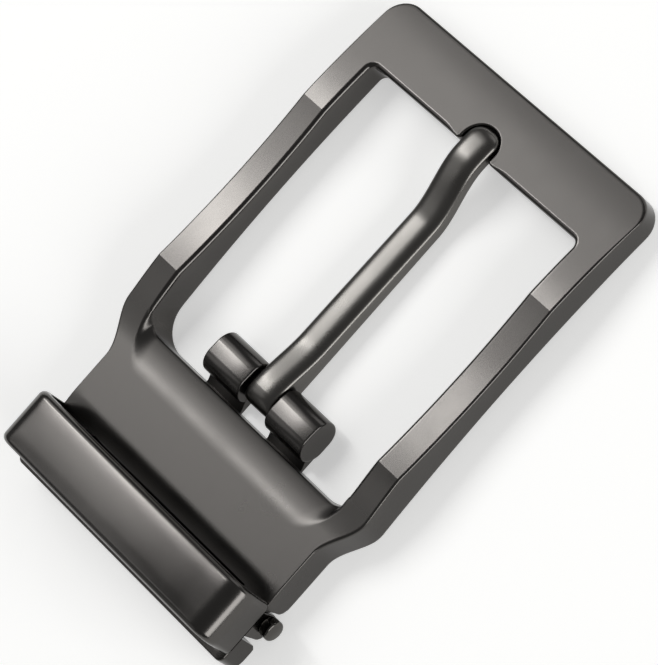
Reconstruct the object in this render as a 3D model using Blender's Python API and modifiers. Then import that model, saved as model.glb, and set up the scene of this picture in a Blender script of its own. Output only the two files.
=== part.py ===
"""Clip-on pin buckle for a 35 mm belt: a cast frame with a notched front bar, a pivoting
prong, and a strap clamp made of a fixed cover band and a lever on a cross pin.

Lengths are in millimetres, turned to metres where the shapes are made. +X points from
the strap end to the front bar, +Z out of the face that is seen, and Z = 0 is the surface
that the buckle rests on.
"""
import math

import bmesh
import bpy
from mathutils import Matrix, Vector

MM = 0.001
GAP = 0.3
OVERRUN = 1.0
CUT_BELOW = -2.0
CUT_ABOVE = 8.0

# Frame: plan
BAR_END_X = 34.2
BAR_INNER_X = 25.9
KINK_A_X = 18.3
KINK_B_X = -6.1
OPENING_END_X = -13.1
FRAME_HALF_WIDTH = 21.75
OPENING_HALF_WIDTH = 17.75
PLATE_HALF_WIDTH = 18.95
BAR_CORNER_RADIUS = 2.8
OPENING_BAR_RADIUS = 0.9
OPENING_PLATE_RADIUS = 2.2
NECK_START_X = -11.7
NECK_END_X = -18.4
PLATE_SIDE_END_X = -26.46
PLATE_SIDE_HEEL_X = -26.12
PLATE_SIDE_HEEL_RADIUS = 1.3

# Frame: heights along its length
BAR_END_TOP = 2.77
KINK_A_TOP = 4.75
KINK_B_TOP = 5.2
RAIL_SAG = 0.42
BAR_SLOPE = 0.045
PLATE_TOP = 3.75
PLATE_LEVEL_X = -15.9
SHOULDER_POWER = 1.25
ARCH_START_X = 30.8
ARCH_END_X = -13.0
ARCH_HEIGHT = 1.4
ARCH_POWER = 0.85

# Frame: details
EDGE_ROUND = 0.3
OPENING_ROUND = 0.6
ROLL_DEPTH = 2.3
ROLL_LENGTH = 3.3
ROLL_CORNER_X = -11.6
ROLL_CORNER_Y = 14.2
ROLL_FADE_POWER = 0.6
ROLL_LEAST = 0.12
DIP_START_X = -22.6
DIP_END_X = -26.2
DIP_DEPTH = 0.75
DIP_SIDE_Y = 20.0
DIP_SIDE_FADE = 4.5
DIP_POWER = 1.6
DIP_SKIN = 0.02
POCKET_START_X = -16.6
POCKET_END_X = -23.6
POCKET_HALF_WIDTH = 16.0
POCKET_TOP = 1.5
PLATE_REAR_X = -25.9
NOTCH_CENTRE_X = 26.75
NOTCH_RADIUS = 2.5
NOTCH_FLOOR = 1.55
NOTCH_MOUTH = 1.5
NOTCH_EDGE_ROUND = 0.24

# Prong hinge lugs
HINGE_X = -9.15
HINGE_Z = 2.1
LUG_RADIUS = 2.1
LUG_STRETCH = 1.1
LUG_INNER_Y = 2.45
LUG_OUTER_Y = 8.8
NECK_TOP = 1.3
NECK_BOTTOM = 0.1
NECK_INNER_Y = 2.9
LUG_NECK_END_X = -13.7
LUG_BORE_RADIUS = 1.2
LUG_BORE_DEPTH_Y = 7.4
PRONG_PIN_RADIUS = 0.9

# Prong
PRONG_HALF_WIDTH = 2.05
PRONG_TIP_X = 29.0
PRONG_TIP_RADIUS = 1.7
SHANK_BOTTOM = 0.68
CREST_X = 25.0
CREST_BOTTOM = 3.05
TIP_BOTTOM = 2.1
TIP_FALL_POWER = 1.6
BEND_START_X = 16.2
SIDE_HEIGHT_ROOT = 1.68
SIDE_HEIGHT_TIP = 1.1
ROOT_SWELL = 1.15
ROOT_SWELL_END_X = -3.2
CROWN_HEIGHT = 0.9
PRONG_CHAMFER = 0.3
PRONG_BACK_SHARE = 0.9
RING_RADIUS = 2.1
RING_CROWN = 0.42
RING_BORE_RADIUS = 1.2

# Clamp cover
COVER_FRONT_X = -25.7
COVER_REAR_X = -33.0
COVER_HALF_WIDTH = 18.95
COVER_TOP = 10.55
COVER_BEND_RADIUS = 2.9
COVER_THICKNESS = 1.3
COVER_EDGE_ROUND = 0.65
COVER_INNER_EDGE_ROUND = 0.3
EAR_FRONT_FOOT_X = -25.6
EAR_REAR_FOOT_X = -32.1
EAR_FOOT_Z = PLATE_TOP + GAP
EAR_HEEL_HEIGHT = 0.9
EAR_HEEL_SLOPE = 0.15
EAR_HEEL_INSET = 0.5
EAR_REAR_RISE = 0.6
LEG_FRONT_TOP_X = -26.78
LEG_REAR_TOP_X = -30.4
LEG_FRONT_FOOT_X = -26.42
LEG_REAR_FOOT_X = -29.85
LEG_FOOT_Z = 0.15
LEG_CORNER = 1.2

# Clamp pin and lever
CLAMP_X = -27.7
CLAMP_Z = 1.5
CLAMP_SHAFT_RADIUS = 0.75
CLAMP_BORE_RADIUS = 1.05
CLAMP_HEAD_RADIUS = 1.28
CLAMP_HEAD_HEIGHT = 1.4
CLAMP_HEAD_DOME = 0.45
CLAMP_HEAD_GAP = 0.12
KNUCKLE_INNER_Y = 14.6
KNUCKLE_OUTER_Y = 17.35
KNUCKLE_RADIUS = 1.5
KNUCKLE_TIE_LENGTH = 1.6
LEVER_EYE_HALF_WIDTH = 14.3
LEVER_EYE_RADIUS = 1.5
LEVER_TOP = 3.0
LEVER_BOTTOM = 1.2
LEVER_BACK_FLAT = 2.0
LEVER_BACK_SLOPE = 3.6
LEVER_FLOOR_INSET = 0.6
LEVER_LIP_WIDTH = 1.4
LEVER_WIDE_START_X = -30.7
LEVER_REAR_X = -34.2
LEVER_CORNER_RADIUS = 1.4
LEVER_HEEL_RADIUS = 1.3
LEVER_TOE_RADIUS = 0.6
LEVER_RIM_TOP = PLATE_TOP
LEVER_RIM_WIDTH = 1.9
LEVER_RIM_BOTTOM = 0.05

ARC_STEPS = 10


def clear_scene():
    """Empty the scene of whatever it holds."""
    for item in list(bpy.data.objects):
        bpy.data.objects.remove(item, do_unlink=True)


def new_collection(name):
    """Return a collection linked to the scene."""
    group = bpy.data.collections.new(name)
    bpy.context.scene.collection.children.link(group)
    return group


def arc(cx, cy, radius, start_deg, end_deg, steps=ARC_STEPS):
    """Points of a circular arc, both ends included."""
    points = []
    for i in range(steps + 1):
        angle = math.radians(start_deg + (end_deg - start_deg) * i / steps)
        points.append((cx + radius * math.cos(angle), cy + radius * math.sin(angle)))
    return points


def blend(t):
    """Smooth 0 to 1 ramp."""
    t = min(max(t, 0.0), 1.0)
    return t * t * (3.0 - 2.0 * t)


def mesh_from(item, name):
    """Turn an object into a plain mesh object with its placing applied and its caps welded."""
    bpy.context.view_layer.update()
    graph = bpy.context.evaluated_depsgraph_get()
    mesh = bpy.data.meshes.new_from_object(item.evaluated_get(graph))
    mesh.transform(item.matrix_world)
    bm = bmesh.new()
    bm.from_mesh(mesh)
    bmesh.ops.remove_doubles(bm, verts=bm.verts, dist=1e-6)
    bmesh.ops.recalc_face_normals(bm, faces=bm.faces)
    bm.to_mesh(mesh)
    bm.free()
    mesh.name = name
    bpy.data.objects.remove(item, do_unlink=True)
    made = bpy.data.objects.new(name, mesh)
    return made


def prism(name, loops, low, high, group, upright=False):
    """A flat outline, holes included, drawn out between two levels.

    The outline lies in X and Y and is drawn out along Z; an upright one lies in X and Z
    and is drawn out along Y.
    """
    curve = bpy.data.curves.new(name, "CURVE")
    curve.dimensions = "2D"
    curve.fill_mode = "BOTH"
    curve.extrude = (high - low) * 0.5 * MM
    for loop in loops:
        spline = curve.splines.new("POLY")
        spline.points.add(len(loop) - 1)
        for point, (x, y) in zip(spline.points, loop):
            point.co = (x * MM, y * MM, 0.0, 1.0)
        spline.use_cyclic_u = True
    item = bpy.data.objects.new(name, curve)
    middle = (high + low) * 0.5 * MM
    if upright:
        item.rotation_euler = (math.radians(90.0), 0.0, 0.0)
        item.location = (0.0, middle, 0.0)
    else:
        item.location = (0.0, 0.0, middle)
    group.objects.link(item)
    made = mesh_from(item, name)
    group.objects.link(made)
    return made


def round_bar(name, radius, low_y, high_y, x, z, group, segments=40):
    """A cylinder along Y."""
    bm = bmesh.new()
    turn = Matrix.Rotation(math.radians(90.0), 4, "X")
    place = Matrix.Translation((x * MM, (low_y + high_y) * 0.5 * MM, z * MM))
    bmesh.ops.create_cone(
        bm, cap_ends=True, segments=segments, radius1=radius * MM, radius2=radius * MM,
        depth=(high_y - low_y) * MM, matrix=place @ turn)
    mesh = bpy.data.meshes.new(name)
    bm.to_mesh(mesh)
    bm.free()
    made = bpy.data.objects.new(name, mesh)
    group.objects.link(made)
    return made


def loft(name, sections, group):
    """A closed solid drawn through a row of sections with equal numbers of points."""
    bm = bmesh.new()
    rings = [[bm.verts.new(point) for point in section] for section in sections]
    count = len(rings[0])
    for first, second in zip(rings, rings[1:]):
        for i in range(count):
            j = (i + 1) % count
            bm.faces.new((first[i], first[j], second[j], second[i]))
    bm.faces.new(list(reversed(rings[0])))
    bm.faces.new(rings[-1])
    bmesh.ops.recalc_face_normals(bm, faces=bm.faces)
    mesh = bpy.data.meshes.new(name)
    bm.to_mesh(mesh)
    bm.free()
    made = bpy.data.objects.new(name, mesh)
    group.objects.link(made)
    return made


def block(name, x_range, y_range, z_range, group):
    """A plain box between the given limits."""
    bm = bmesh.new()
    bmesh.ops.create_cube(bm, size=1.0)
    size = [high - low for low, high in (x_range, y_range, z_range)]
    middle = [(high + low) * 0.5 for low, high in (x_range, y_range, z_range)]
    for vert in bm.verts:
        vert.co = Vector([(c * s + m) * MM for c, s, m in zip(vert.co, size, middle)])
    mesh = bpy.data.meshes.new(name)
    bm.to_mesh(mesh)
    bm.free()
    made = bpy.data.objects.new(name, mesh)
    group.objects.link(made)
    return made


def combine(item, other, operation, guides):
    """Add an exact Boolean with another object, which becomes a hidden guide."""
    modifier = item.modifiers.new(operation.lower() + "_" + other.name, "BOOLEAN")
    modifier.operation = operation
    modifier.solver = "EXACT"
    modifier.object = other
    for group in list(other.users_collection):
        group.objects.unlink(other)
    guides.objects.link(other)
    other.hide_render = True
    other.display_type = "WIRE"


def settle(item, name, group):
    """Replace an object by its evaluated mesh and drop the guides it used."""
    used = [m.object for m in item.modifiers if m.type == "BOOLEAN"]
    made = mesh_from(item, name)
    for guide in used:
        bpy.data.objects.remove(guide, do_unlink=True)
    group.objects.link(made)
    return made


def weigh_edges(item, chooser, least_deg=35.0):
    """Give each sharp edge the bevel weight that the chooser returns for its middle."""
    bm = bmesh.new()
    bm.from_mesh(item.data)
    layer = bm.edges.layers.float.get("bevel_weight_edge")
    if layer is None:
        layer = bm.edges.layers.float.new("bevel_weight_edge")
    for edge in bm.edges:
        if len(edge.link_faces) != 2:
            continue
        if math.degrees(edge.calc_face_angle(0.0)) < least_deg:
            continue
        middle = (edge.verts[0].co + edge.verts[1].co) * 0.5 / MM
        along = (edge.verts[1].co - edge.verts[0].co).normalized()
        edge[layer] = chooser(middle, along)
    bm.to_mesh(item.data)
    bm.free()


def add_bevel(item, width, method="ANGLE", segments=3, least_deg=35.0):
    """Round the edges of an object."""
    modifier = item.modifiers.new("rounded_edges", "BEVEL")
    modifier.width = width * MM
    modifier.segments = segments
    modifier.limit_method = method
    modifier.angle_limit = math.radians(least_deg)
    modifier.use_clamp_overlap = True
    modifier.harden_normals = False
    return modifier


def merge_flat(item, angle_deg=0.4):
    """Join the faces that lie in one plane, so that edges stand alone."""
    bm = bmesh.new()
    bm.from_mesh(item.data)
    bmesh.ops.dissolve_limit(
        bm, angle_limit=math.radians(angle_deg), verts=bm.verts, edges=bm.edges)
    bm.to_mesh(item.data)
    bm.free()


def finish(item, material, angle_deg=32.0):
    """Shade the round faces smooth and put the material on."""
    item.data.materials.clear()
    item.data.materials.append(material)
    item.data.shade_smooth()
    item.data.set_sharp_from_angle(angle=math.radians(angle_deg))


def metal(name, grey, roughness):
    """A plated metal."""
    material = bpy.data.materials.new(name)
    material.use_nodes = True
    shader = material.node_tree.nodes["Principled BSDF"]
    shader.inputs["Base Color"].default_value = (grey, grey, grey * 0.98, 1.0)
    shader.inputs["Metallic"].default_value = 1.0
    shader.inputs["Roughness"].default_value = roughness
    return material


def frame_top(x):
    """Height of the frame's upper face at a place along its length."""
    if x >= KINK_A_X:
        reach = x - KINK_A_X
        length = BAR_END_X - KINK_A_X
        curve = (KINK_A_TOP - BAR_END_TOP - BAR_SLOPE * length) / length ** 2
        return KINK_A_TOP - BAR_SLOPE * reach - curve * reach ** 2
    if x >= KINK_B_X:
        t = (KINK_A_X - x) / (KINK_A_X - KINK_B_X)
        return KINK_A_TOP + (KINK_B_TOP - KINK_A_TOP) * t - 4.0 * RAIL_SAG * t * (1.0 - t)
    if x >= PLATE_LEVEL_X:
        t = (KINK_B_X - x) / (KINK_B_X - PLATE_LEVEL_X)
        drop = (1.0 - math.cos(math.pi * t ** SHOULDER_POWER)) * 0.5
        return KINK_B_TOP - (KINK_B_TOP - PLATE_TOP) * drop
    return PLATE_TOP


def frame_bottom(x):
    """Height of the frame's back at a place along its length."""
    if x >= ARCH_START_X or x <= ARCH_END_X:
        return 0.0
    t = (ARCH_START_X - x) / (ARCH_START_X - ARCH_END_X)
    return ARCH_HEIGHT * math.sin(math.pi * t) ** ARCH_POWER


def spaced(start, end, count):
    """Evenly spaced numbers from start to end, both included."""
    return [start + (end - start) * i / count for i in range(count + 1)]


def frame_side_profile():
    """Closed outline of the frame seen from the side."""
    reach = BAR_END_X + OVERRUN
    top_x = [reach] + spaced(BAR_END_X, KINK_A_X, 10)
    top_x += spaced(KINK_A_X, KINK_B_X, 16)[1:]
    top_x += spaced(KINK_B_X, PLATE_LEVEL_X, 12)[1:]
    top = [(x, frame_top(x)) for x in top_x]
    heel_r = PLATE_SIDE_HEEL_RADIUS
    heel = arc(PLATE_SIDE_HEEL_X + heel_r, heel_r, heel_r, 180.0, 270.0, 6)
    bottom_x = spaced(ARCH_END_X, ARCH_START_X, 22)
    bottom = [(x, frame_bottom(x)) for x in bottom_x]
    return top + [(PLATE_SIDE_END_X, PLATE_TOP)] + heel + bottom + [(reach, 0.0)]


def frame_outline():
    """Closed outline of the frame seen from above."""
    half = []
    corner_x = BAR_END_X - BAR_CORNER_RADIUS
    corner_y = FRAME_HALF_WIDTH - BAR_CORNER_RADIUS
    half += arc(corner_x, corner_y, BAR_CORNER_RADIUS, 0.0, 90.0)
    for t in spaced(0.0, 1.0, 12):
        x = NECK_START_X + (NECK_END_X - NECK_START_X) * t
        half.append((x, FRAME_HALF_WIDTH + (PLATE_HALF_WIDTH - FRAME_HALF_WIDTH) * blend(t)))
    half.append((PLATE_SIDE_END_X - OVERRUN, PLATE_HALF_WIDTH))
    other = [(x, -y) for x, y in reversed(half)]
    return half + other


def opening_outline():
    """Closed outline of the opening seen from above, the prong notch left out."""
    bar_r = OPENING_BAR_RADIUS
    plate_r = OPENING_PLATE_RADIUS
    half = arc(BAR_INNER_X - bar_r, OPENING_HALF_WIDTH - bar_r, bar_r, 0.0, 90.0, 5)
    half += arc(OPENING_END_X + plate_r, OPENING_HALF_WIDTH - plate_r, plate_r, 90.0, 180.0, 6)
    other = [(x, -y) for x, y in reversed(half)]
    return half + other


def notch_outline():
    """Closed outline of the notch that takes the prong tip."""
    mouth = BAR_INNER_X - NOTCH_MOUTH
    round_end = arc(NOTCH_CENTRE_X, 0.0, NOTCH_RADIUS, -90.0, 90.0, 20)
    return round_end + [(mouth, NOTCH_RADIUS), (mouth, -NOTCH_RADIUS)]


def roll_path():
    """Stations of the plate's rolled edge: a lower point on the wall, an upper one on the face.

    The roll is widest along the plate and runs out on the rails' inner walls.
    """
    wall_x = OPENING_END_X + OPENING_PLATE_RADIUS
    wall_y = OPENING_HALF_WIDTH - OPENING_PLATE_RADIUS
    corner = []
    for angle in spaced(84.0, 0.0, 12):
        side, back = math.sin(math.radians(angle)), math.cos(math.radians(angle))
        low = (wall_x - OPENING_PLATE_RADIUS * back, wall_y + OPENING_PLATE_RADIUS * side)
        length = OPENING_END_X - ROLL_LENGTH - ROLL_CORNER_X
        width = OPENING_HALF_WIDTH - ROLL_CORNER_Y
        high = (ROLL_CORNER_X + length * back, ROLL_CORNER_Y + width * side)
        depth = max(ROLL_DEPTH * back ** ROLL_FADE_POWER, ROLL_LEAST)
        corner.append((low, high, depth))
    other = [((lx, -ly), (hx, -hy), depth) for (lx, ly), (hx, hy), depth in reversed(corner)]
    return corner + other


def roll_section(low, high, depth):
    """Closed section of what is cut away at one station of the plate's rolled edge."""
    wall = Vector((low[0], low[1]))
    run = Vector((high[0], high[1])) - wall
    out = wall - run.normalized() * OVERRUN
    foot = frame_top(wall.x) - depth
    face = frame_top(high[0])
    points = [(out.x, out.y, foot)]
    for angle in spaced(0.0, 82.0, 8):
        turn = math.radians(angle)
        place = wall + run * (1.0 - math.cos(turn)) / (1.0 - math.cos(math.radians(82.0)))
        rise = math.sin(turn) / math.sin(math.radians(82.0))
        points.append((place.x, place.y, foot + (face - foot) * rise))
    points.append((high[0], high[1], CUT_ABOVE))
    points.append((out.x, out.y, CUT_ABOVE))
    return [Vector(point) * MM for point in points]


def dip_section(y):
    """Section, at one place across the strap, of the hollow in the plate next to the cover."""
    share = blend((DIP_SIDE_Y - abs(y)) / DIP_SIDE_FADE)
    points = []
    for t in spaced(0.0, 1.0, 8):
        x = DIP_START_X + (DIP_END_X - DIP_START_X) * t
        points.append((x, PLATE_TOP + DIP_SKIN - (DIP_DEPTH * share + DIP_SKIN) * t ** DIP_POWER))
    rear = PLATE_SIDE_END_X - OVERRUN
    points += [(rear, points[-1][1]), (rear, CUT_ABOVE), (DIP_START_X, CUT_ABOVE)]
    return [Vector((x, y, z)) * MM for x, z in points]


def frame_bevel_weight(middle, along):
    """Bevel weight of a frame edge: the opening's upper edge is rounded the most."""
    near = 0.2
    inside_x = ROLL_CORNER_X < middle.x < NOTCH_CENTRE_X + NOTCH_RADIUS + near
    inside_y = abs(middle.y) < OPENING_HALF_WIDTH + near
    upper = middle.z > 0.5 * (frame_top(middle.x) + frame_bottom(middle.x))
    upright = abs(along.z) > 0.7
    rear_end = middle.x < PLATE_SIDE_HEEL_X + near and abs(middle.y) < PLATE_HALF_WIDTH - near
    if upright or rear_end:
        return 0.0
    if inside_x and inside_y and upper:
        if abs(middle.y) < NOTCH_RADIUS + near:
            return NOTCH_EDGE_ROUND / OPENING_ROUND
        return 1.0
    return EDGE_ROUND / OPENING_ROUND


def build_frame(group, guides, material):
    """Front bar, side rails, neck, plate, prong lugs and clamp knuckles, cast in one."""
    plan = [frame_outline(), opening_outline()]
    tall = prism("frame_plan", plan, CUT_BELOW, CUT_ABOVE, group)
    reach = FRAME_HALF_WIDTH + OVERRUN
    side = prism("frame_side", [frame_side_profile()], -reach, reach, group, upright=True)
    combine(tall, side, "INTERSECT", guides)
    notch = prism("prong_notch", [notch_outline()], NOTCH_FLOOR, CUT_ABOVE, group)
    combine(tall, notch, "DIFFERENCE", guides)
    body = settle(tall, "frame_body", group)
    merge_flat(body)
    weigh_edges(body, frame_bevel_weight)
    add_bevel(body, OPENING_ROUND, "WEIGHT")
    body = settle(body, "frame_rounded", group)
    roll = loft("plate_roll", [roll_section(*station) for station in roll_path()], group)
    combine(body, roll, "DIFFERENCE", guides)
    dip = loft("plate_dip", [dip_section(y) for y in spaced(-DIP_SIDE_Y, DIP_SIDE_Y, 30)], group)
    combine(body, dip, "DIFFERENCE", guides)
    pocket = block(
        "back_pocket", (POCKET_END_X, POCKET_START_X),
        (-POCKET_HALF_WIDTH, POCKET_HALF_WIDTH), (CUT_BELOW, POCKET_TOP), group)
    combine(body, pocket, "DIFFERENCE", guides)
    bay = block(
        "lever_bay", (PLATE_SIDE_END_X - OVERRUN, PLATE_REAR_X),
        (-LEVER_EYE_HALF_WIDTH - GAP, LEVER_EYE_HALF_WIDTH + GAP), (CUT_BELOW, CUT_ABOVE), group)
    combine(body, bay, "DIFFERENCE", guides)
    for side_name, sign in (("left", 1.0), ("right", -1.0)):
        add_lug(body, side_name, sign, group, guides)
        add_knuckle(body, side_name, sign, group, guides)
    body = settle(body, "frame", group)
    finish(body, material)
    return body


def lug_outline():
    """Closed side outline of a hinge barrel, a little longer than it is high."""
    front = arc(HINGE_X, HINGE_Z, LUG_RADIUS, -90.0, 90.0, 22)
    back = arc(HINGE_X - LUG_STRETCH, HINGE_Z, LUG_RADIUS, 90.0, 270.0, 22)
    return front + back


def add_lug(body, side_name, sign, group, guides):
    """One hinge barrel for the prong, with the neck that ties it to the plate."""
    ends = sorted((sign * LUG_INNER_Y, sign * LUG_OUTER_Y))
    barrel = prism(
        "lug_" + side_name, [lug_outline()], ends[0], ends[1], group, upright=True)
    add_bevel(barrel, EDGE_ROUND, segments=2)
    barrel = settle(barrel, "lug_barrel_" + side_name, group)
    neck_ends = sorted((sign * NECK_INNER_Y, sign * LUG_OUTER_Y))
    neck = block(
        "lug_neck_" + side_name, (LUG_NECK_END_X, HINGE_X), (neck_ends[0], neck_ends[1]),
        (NECK_BOTTOM, NECK_TOP), group)
    combine(barrel, neck, "UNION", guides)
    bore_ends = sorted((0.0, sign * LUG_BORE_DEPTH_Y))
    bore = round_bar(
        "lug_bore_" + side_name, LUG_BORE_RADIUS, bore_ends[0], bore_ends[1],
        HINGE_X, HINGE_Z, group, 24)
    combine(barrel, bore, "DIFFERENCE", guides)
    barrel = settle(barrel, "lug_whole_" + side_name, group)
    combine(body, barrel, "UNION", guides)


def add_knuckle(body, side_name, sign, group, guides):
    """One of the two knuckles behind the cover's legs that carry the clamp pin."""
    ends = sorted((sign * KNUCKLE_INNER_Y, sign * KNUCKLE_OUTER_Y))
    eye = round_bar(
        "eye_" + side_name, KNUCKLE_RADIUS, ends[0], ends[1], CLAMP_X, CLAMP_Z, group, 32)
    tie = block(
        "tie_" + side_name, (CLAMP_X, PLATE_SIDE_END_X + KNUCKLE_TIE_LENGTH), (ends[0], ends[1]),
        (0.0, CLAMP_Z + KNUCKLE_RADIUS), group)
    combine(eye, tie, "UNION", guides)
    bore = round_bar(
        "eye_bore_" + side_name, CLAMP_BORE_RADIUS, ends[0] - OVERRUN, ends[1] + OVERRUN,
        CLAMP_X, CLAMP_Z, group, 24)
    combine(eye, bore, "DIFFERENCE", guides)
    eye = settle(eye, "knuckle_" + side_name, group)
    combine(body, eye, "UNION", guides)


def prong_bottom(x):
    """Height of the prong's underside at a place along its length."""
    if x <= CREST_X:
        rise = blend((x - BEND_START_X) / (CREST_X - BEND_START_X))
        return SHANK_BOTTOM + (CREST_BOTTOM - SHANK_BOTTOM) * rise
    fall = (x - CREST_X) / (PRONG_TIP_X - CREST_X)
    return CREST_BOTTOM - (CREST_BOTTOM - TIP_BOTTOM) * fall ** TIP_FALL_POWER


def prong_side_height(x):
    """Height of the prong's upright side face at a place along its length."""
    t = (x - HINGE_X) / (CREST_X - HINGE_X)
    plain = SIDE_HEIGHT_ROOT + (SIDE_HEIGHT_TIP - SIDE_HEIGHT_ROOT) * blend(t)
    swell = 1.0 - blend((x - HINGE_X) / (ROOT_SWELL_END_X - HINGE_X))
    return plain + ROOT_SWELL * swell


def prong_half_width(x):
    """Half of the prong's width at a place along its length: the tip is rounded."""
    reach = x - (PRONG_TIP_X - PRONG_TIP_RADIUS)
    if reach <= 0.0:
        return PRONG_HALF_WIDTH
    flat = PRONG_HALF_WIDTH - PRONG_TIP_RADIUS
    return flat + math.sqrt(max(PRONG_TIP_RADIUS ** 2 - reach ** 2, 0.0))


def prong_section(x):
    """Closed section of the prong: flat back, upright sides, crowned face."""
    low = prong_bottom(x)
    half = prong_half_width(x)
    edge = low + prong_side_height(x)
    taper = half / PRONG_HALF_WIDTH
    back = half * PRONG_BACK_SHARE
    points = [(-back, low), (back, low), (half, low + PRONG_CHAMFER), (half, edge)]
    for y in spaced(half, -half, 10)[1:-1]:
        share = y / half
        points.append((y, edge + CROWN_HEIGHT * taper * (1.0 - share * share)))
    points += [(-half, edge), (-half, low + PRONG_CHAMFER)]
    return [Vector((x * MM, y * MM, z * MM)) for y, z in points]


def build_prong(group, guides, material):
    """The prong: a lofted shank with a bent, rounded tip, and a crowned ring at its root."""
    stations = spaced(HINGE_X, BEND_START_X, 14)
    stations += spaced(BEND_START_X, PRONG_TIP_X - PRONG_TIP_RADIUS, 16)[1:]
    for angle in spaced(0.0, 80.0, 6)[1:]:
        reach = PRONG_TIP_RADIUS * math.sin(math.radians(angle))
        stations.append(PRONG_TIP_X - PRONG_TIP_RADIUS + reach)
    shank = loft("prong_shank", [prong_section(x) for x in stations], group)
    ring = prong_ring(group)
    combine(shank, ring, "UNION", guides)
    bore = round_bar(
        "prong_bore", RING_BORE_RADIUS, -PRONG_HALF_WIDTH - OVERRUN, PRONG_HALF_WIDTH + OVERRUN,
        HINGE_X, HINGE_Z, group, 24)
    combine(shank, bore, "DIFFERENCE", guides)
    prong = settle(shank, "prong", group)
    place_origin(prong, HINGE_X, HINGE_Z)
    finish(prong, material)
    return prong


def prong_ring(group):
    """The ring around the hinge pin, turned from a profile with a crowned outside."""
    profile = [(RING_RADIUS * 0.3, -PRONG_HALF_WIDTH)]
    for y in spaced(-PRONG_HALF_WIDTH, PRONG_HALF_WIDTH, 8):
        share = y / PRONG_HALF_WIDTH
        lift = RING_CROWN * (1.0 - share * share) - RING_CROWN
        profile.append((RING_RADIUS + lift, y))
    profile.append((RING_RADIUS * 0.3, PRONG_HALF_WIDTH))
    return turned("prong_ring", profile, HINGE_X, HINGE_Z, group, 40)


def turned(name, profile, x, z, group, steps):
    """A solid turned about a line along Y, from a profile of radius and place."""
    mesh = bpy.data.meshes.new(name)
    points = [(radius * MM, 0.0, y * MM) for radius, y in reversed(profile)]
    mesh.from_pydata(points, [(i, i + 1) for i in range(len(points) - 1)], [])
    item = bpy.data.objects.new(name, mesh)
    screw = item.modifiers.new("turned", "SCREW")
    screw.axis = "Z"
    screw.steps = steps
    screw.render_steps = steps
    screw.use_merge_vertices = True
    screw.merge_threshold = 1e-6
    item.rotation_euler = (math.radians(-90.0), 0.0, 0.0)
    item.location = (x * MM, 0.0, z * MM)
    group.objects.link(item)
    made = mesh_from(item, name)
    bm = bmesh.new()
    bm.from_mesh(made.data)
    open_edges = [edge for edge in bm.edges if len(edge.link_faces) == 1]
    bmesh.ops.holes_fill(bm, edges=open_edges, sides=0)
    bmesh.ops.recalc_face_normals(bm, faces=bm.faces)
    bm.to_mesh(made.data)
    bm.free()
    group.objects.link(made)
    return made


def place_origin(item, x, z):
    """Move an object's origin onto its joint axis."""
    shift = Vector((x * MM, 0.0, z * MM))
    item.data.transform(Matrix.Translation(-shift))
    item.location = shift


def build_prong_pin(group, material):
    """The plain pin inside the lugs that the prong turns on."""
    reach = LUG_BORE_DEPTH_Y - GAP
    pin = round_bar("prong_pin", PRONG_PIN_RADIUS, -reach, reach, HINGE_X, HINGE_Z, group, 24)
    finish(pin, material)
    return pin


def cover_band_outline():
    """Closed outline of the cover band seen along the strap, in Y and Z."""
    outer = arc(
        COVER_HALF_WIDTH - COVER_BEND_RADIUS, COVER_TOP - COVER_BEND_RADIUS,
        COVER_BEND_RADIUS, 0.0, 90.0, 12)
    inner_radius = COVER_BEND_RADIUS - COVER_THICKNESS
    inner = arc(
        COVER_HALF_WIDTH - COVER_BEND_RADIUS, COVER_TOP - COVER_BEND_RADIUS,
        inner_radius, 90.0, 0.0, 8)
    right = [(COVER_HALF_WIDTH, -OVERRUN)] + outer
    left = [(-y, z) for y, z in reversed(right)]
    under_left = [(-COVER_HALF_WIDTH + COVER_THICKNESS, -OVERRUN)]
    under_left += [(-y, z) for y, z in reversed(inner)]
    under_right = inner + [(COVER_HALF_WIDTH - COVER_THICKNESS, -OVERRUN)]
    return right + left + under_left + under_right


def cover_side_outline():
    """Closed outline of the cover seen from the side: band, ear and slanted leg."""
    arch = COVER_TOP - COVER_BEND_RADIUS
    foot_z = LEG_FOOT_Z + LEG_CORNER
    leg_front = arc(LEG_FRONT_FOOT_X - LEG_CORNER, foot_z, LEG_CORNER, 0.0, -90.0, 6)
    leg_rear = arc(LEG_REAR_FOOT_X + LEG_CORNER, foot_z, LEG_CORNER, -90.0, -180.0, 6)
    points = [(COVER_FRONT_X, COVER_TOP + OVERRUN), (COVER_FRONT_X, arch)]
    points += [(EAR_FRONT_FOOT_X - EAR_HEEL_SLOPE, EAR_FOOT_Z + EAR_HEEL_HEIGHT)]
    points += [(EAR_FRONT_FOOT_X - EAR_HEEL_INSET, EAR_FOOT_Z)]
    points += [(LEG_FRONT_TOP_X, EAR_FOOT_Z)]
    points += leg_front + leg_rear
    points += [(LEG_REAR_TOP_X, EAR_FOOT_Z), (EAR_REAR_FOOT_X, EAR_FOOT_Z)]
    points += [(COVER_REAR_X, arch + EAR_REAR_RISE), (COVER_REAR_X, COVER_TOP + OVERRUN)]
    return points


def cover_bevel_weight(middle, along):
    """Bevel weight of a cover edge: the outer edges of the band are rounded the most."""
    outer_top = middle.z > COVER_TOP - COVER_THICKNESS * 0.5
    outer_side = abs(middle.y) > COVER_HALF_WIDTH - COVER_THICKNESS * 0.5
    arch = COVER_TOP - COVER_BEND_RADIUS
    reach = math.hypot(abs(middle.y) - (COVER_HALF_WIDTH - COVER_BEND_RADIUS), middle.z - arch)
    outer_bend = middle.z > arch and reach > COVER_BEND_RADIUS - COVER_THICKNESS * 0.5
    if middle.z > EAR_FOOT_Z + EAR_HEEL_HEIGHT and (outer_top or outer_side or outer_bend):
        return 1.0
    return COVER_INNER_EDGE_ROUND / COVER_EDGE_ROUND


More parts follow.
